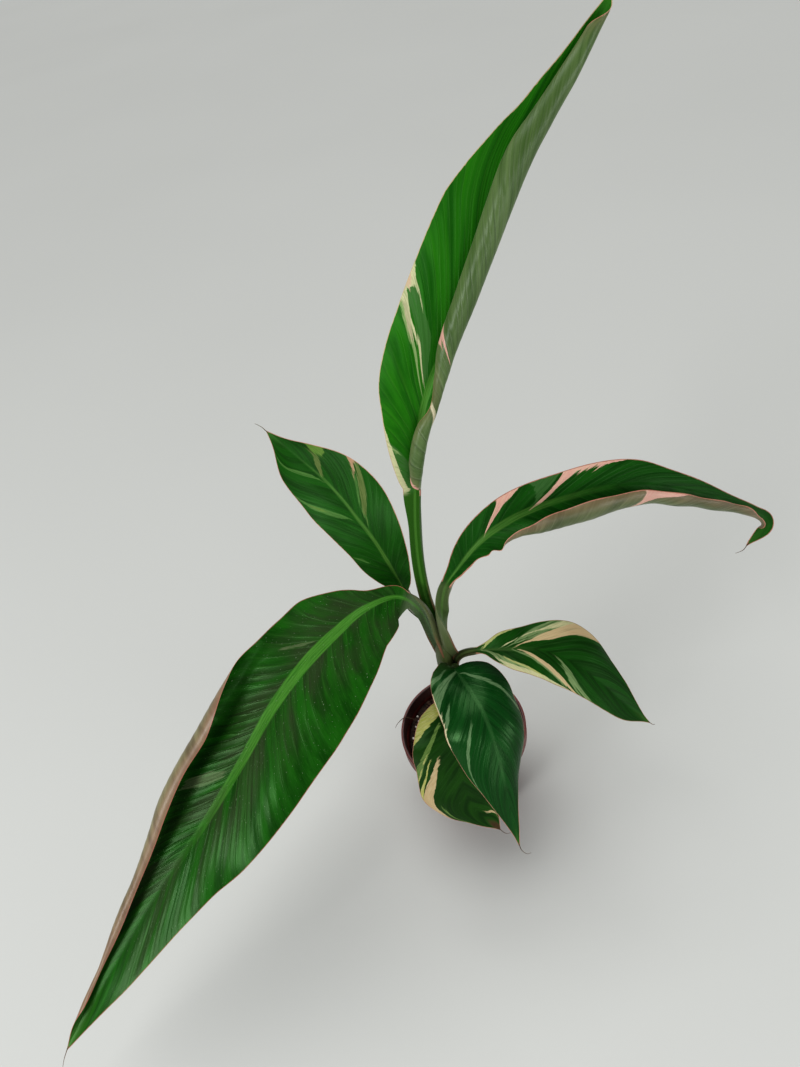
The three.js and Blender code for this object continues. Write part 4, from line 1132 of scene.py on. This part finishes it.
# Upright leaf: the youngest large one, bright green, its right half still rolled into a long scroll
# over the midrib. Cream and pale streaks run down its left half.
plant_leaf(
    "upright_leaf", "leaf_upright", "leaf_bright",
    path=[
        (0, 3, 198), (-2, 4, 228), (-5, 10, 251), (-4, 18, 284), (2, 26, 324), (13, 35, 369),
        (27, 42, 402), (45, 48, 429), (71, 57, 469), (97, 66, 510), (114, 71, 529), (138, 77, 553),
        (153, 80, 575),
    ],
    thread=[(153, 80, 575), (155, 81, 578), (156, 81, 581)],
    facing=[(0, -0.3, -1, 0.25), (0.36, -0.45, -1, 0.3), (1, -0.2, -1, 0.35)],
    stations=[
        (0, 8, 35, 0, 4, 30, 0), (0.02, 11, 30, 0, 12, 10, 200, 0.1),
        (0.08, 17, 20, 0, 23, 10, 280, 0.1), (0.16, 24.5, 20, -20, 22, 10, 250, 0.2),
        (0.21, 30, 15, -20, 17, 15, 220, 0.45), (0.27, 33, 15, -25, 22, 15, 240, 0.3),
        (0.33, 35, 12, -25, 30, 10, 285, 0.1), (0.45, 35, 10, -20, 34, 10, 290, 0.05),
        (0.6, 32, 10, -15, 36, 5, 300), (0.66, 26.5, 10, -15, 37, 5, 300),
        (0.72, 19.5, 10, -10, 36, 5, 300), (0.78, 14, 10, -10, 31, 5, 300),
        (0.85, 11, 15, 0, 25, 10, 300), (0.93, 7, 15, 0, 15, 20, 260),
    ],
    petiole=(5, 4, 3.4), petiole_share=0.2, blade_from=0.33, flare_from=0.76, rib_scale=1,
    sweep=(2.2, 1.3), rows=400, columns=44, seed=2.2, sway=0.6, pleat_height=0.16, gloss=(0.34, 0.2),
    look=(6, 0.2, 1.3, 0.9, 0.9, 0, 0, 0.4, 0, 2.5, 0.22),
    left_streaks=[
        ("cream", (0.64, 0.24, 0.4), (0.75, 0.238, 0.9), (0.88, 0.234, 1.6), (1, 0.228, 6.5)),
        ("pink", (0.96, 0.226, 3), (1, 0.228, 5)),
        ("cream", (0.14, 0.215, 0.4), (0.41, 0.213, 0.9), (0.73, 0.201, 1), (1, 0.208, 3)),
        ("beige", (0.59, 0.196, 1.2), (0.72, 0.197, 1.8), (0.95, 0.203, 1.4)),
        ("pale", (0.12, 0.2, 0.5), (0.43, 0.199, 0.9), (0.66, 0.19, 1.1), (1, 0.198, 1.4)),
        ("grey", (0.1, 0.228, 4), (0.28, 0.238, 7), (0.51, 0.23, 5.4), (0.96, 0.22, 4)),
        ("grey", (0.05, 0.0, 8), (0.3, 0.0, 13), (1, 0.0, 16)),
        ("yellow", (0.55, 0, 1), (0.72, 0.006, 4), (0.86, 0.02, 8), (1, 0.028, 12)),
        ("pale", (0.76, 0.045, 0.5), (0.98, 0.05, 0.8)),
        ("pale", (0.78, 0.025, 0.5), (0.94, 0.032, 0.8)),
    ],
    right_streaks=[
        ("pink", (0.75, 0.19, 0.5), (0.9, 0.19, 4), (1, 0.19, 7)),
        ("pink", (0.55, 0.2, 0.5), (0.8, 0.2, 1.2), (1, 0.2, 2)),
        ("cream", (0.55, 0.104, 0.5), (0.8, 0.104, 0.7), (1, 0.104, 0.9)),
        ("pink", (0.85, 0.008, 1), (1, 0.01, 3.5)),
    ],
    upper=dict(
        Green=(38, 114, 12), Deep=(18, 86, 4), Vein=(80, 146, 44), Tip=(52, 108, 34),
        Rib=(92, 142, 60), Petiole=(54, 94, 28), Edge=(196, 172, 136), Cream=(206, 200, 160),
        Pink=(204, 168, 146), Beige=(168, 162, 128), Yellow=(204, 202, 158), Pale=(146, 168, 112),
        Grey=(66, 108, 54),
    ),
    under=dict(
        Green=(92, 116, 64), Deep=(62, 90, 34), Vein=(138, 156, 116), Petiole=(54, 94, 28), Blush=0.2,
    ),
)

# Stage: a plain pale floor, three broad soft lights and a weak one from the ceiling, and the camera,
# which looks down at the plant.
FLOOR_SIZE = 14.0
CAMERA_PLACE = (-0.012, -0.366, 0.681)
CAMERA_DOWN = 44.0
CAMERA_ROLL = -14.0
FOCAL_PIXELS = 802.0
FRAME_HEIGHT = 1067.0
SENSOR = 36.0


def floor_finish():
    material, tree, place = new_finish("pale_floor")
    cloudy = grain(tree, place, 1.2, 2.0)
    colour = blend(tree, cloudy, paint(192, 193, 189), paint(198, 199, 195))
    return coat(material, colour, 0.9)


def soft_light(name, place, target, breadth, height, power, colour):
    light = bpy.data.lights.new(name, "AREA")
    light.shape = "ELLIPSE"
    light.size, light.size_y = breadth, height
    light.energy = power
    light.color = colour
    lamp = bpy.data.objects.new(name, light)
    lamp.location = place
    lamp.rotation_euler = (Vector(target) - Vector(place)).to_track_quat("-Z", "Y").to_euler()
    bpy.context.scene.collection.objects.link(lamp)


select_nothing()
bpy.ops.mesh.primitive_grid_add(x_subdivisions=4, y_subdivisions=4, size=FLOOR_SIZE)
floor = bpy.context.object
floor.name = "floor"
floor.data.materials.append(floor_finish())

DAYLIGHT = (0.97, 0.98, 1.0)
soft_light("left_window", (-1.65, -1.1, 1.0), (0, 0, 0.25), 0.7, 0.8, 17.0, DAYLIGHT)
soft_light("right_window", (1.5, -1.15, 0.5), (0, 0, 0.2), 0.9, 0.7, 7.0, DAYLIGHT)
soft_light("front_window", (0.3, -1.8, 0.45), (0, 0, 0.15), 1.3, 0.5, 5.0, DAYLIGHT)
ceiling = bpy.data.lights.new("ceiling_light", "SUN")
ceiling.energy = 1.7
ceiling.angle = math.radians(50)
ceiling_lamp = bpy.data.objects.new("ceiling_light", ceiling)
ceiling_lamp.rotation_euler = (math.radians(-14), math.radians(-8), 0)
bpy.context.scene.collection.objects.link(ceiling_lamp)

world = bpy.data.worlds.new("studio_light")
world.use_nodes = True
fill(world.node_tree, world.node_tree.nodes["Background"], {0: (0.93, 0.95, 0.97, 1), 1: 0.28})
scene = bpy.context.scene
scene.world = world
scene.view_settings.view_transform = "Standard"
scene.view_settings.look = "Medium High Contrast"

lens = bpy.data.cameras.new("camera")
lens.sensor_width = SENSOR
lens.lens = FOCAL_PIXELS / FRAME_HEIGHT * SENSOR
lens.clip_start = 0.01
lens.clip_end = 50
camera = bpy.data.objects.new("camera", lens)
pitch = Matrix.Rotation(math.radians(90 - CAMERA_DOWN), 4, "X")
roll = Matrix.Rotation(math.radians(CAMERA_ROLL), 4, "Z")
camera.matrix_world = Matrix.Translation(CAMERA_PLACE) @ pitch @ roll
bpy.context.scene.collection.objects.link(camera)
bpy.context.scene.camera = camera

bpy.context.view_layer.update()
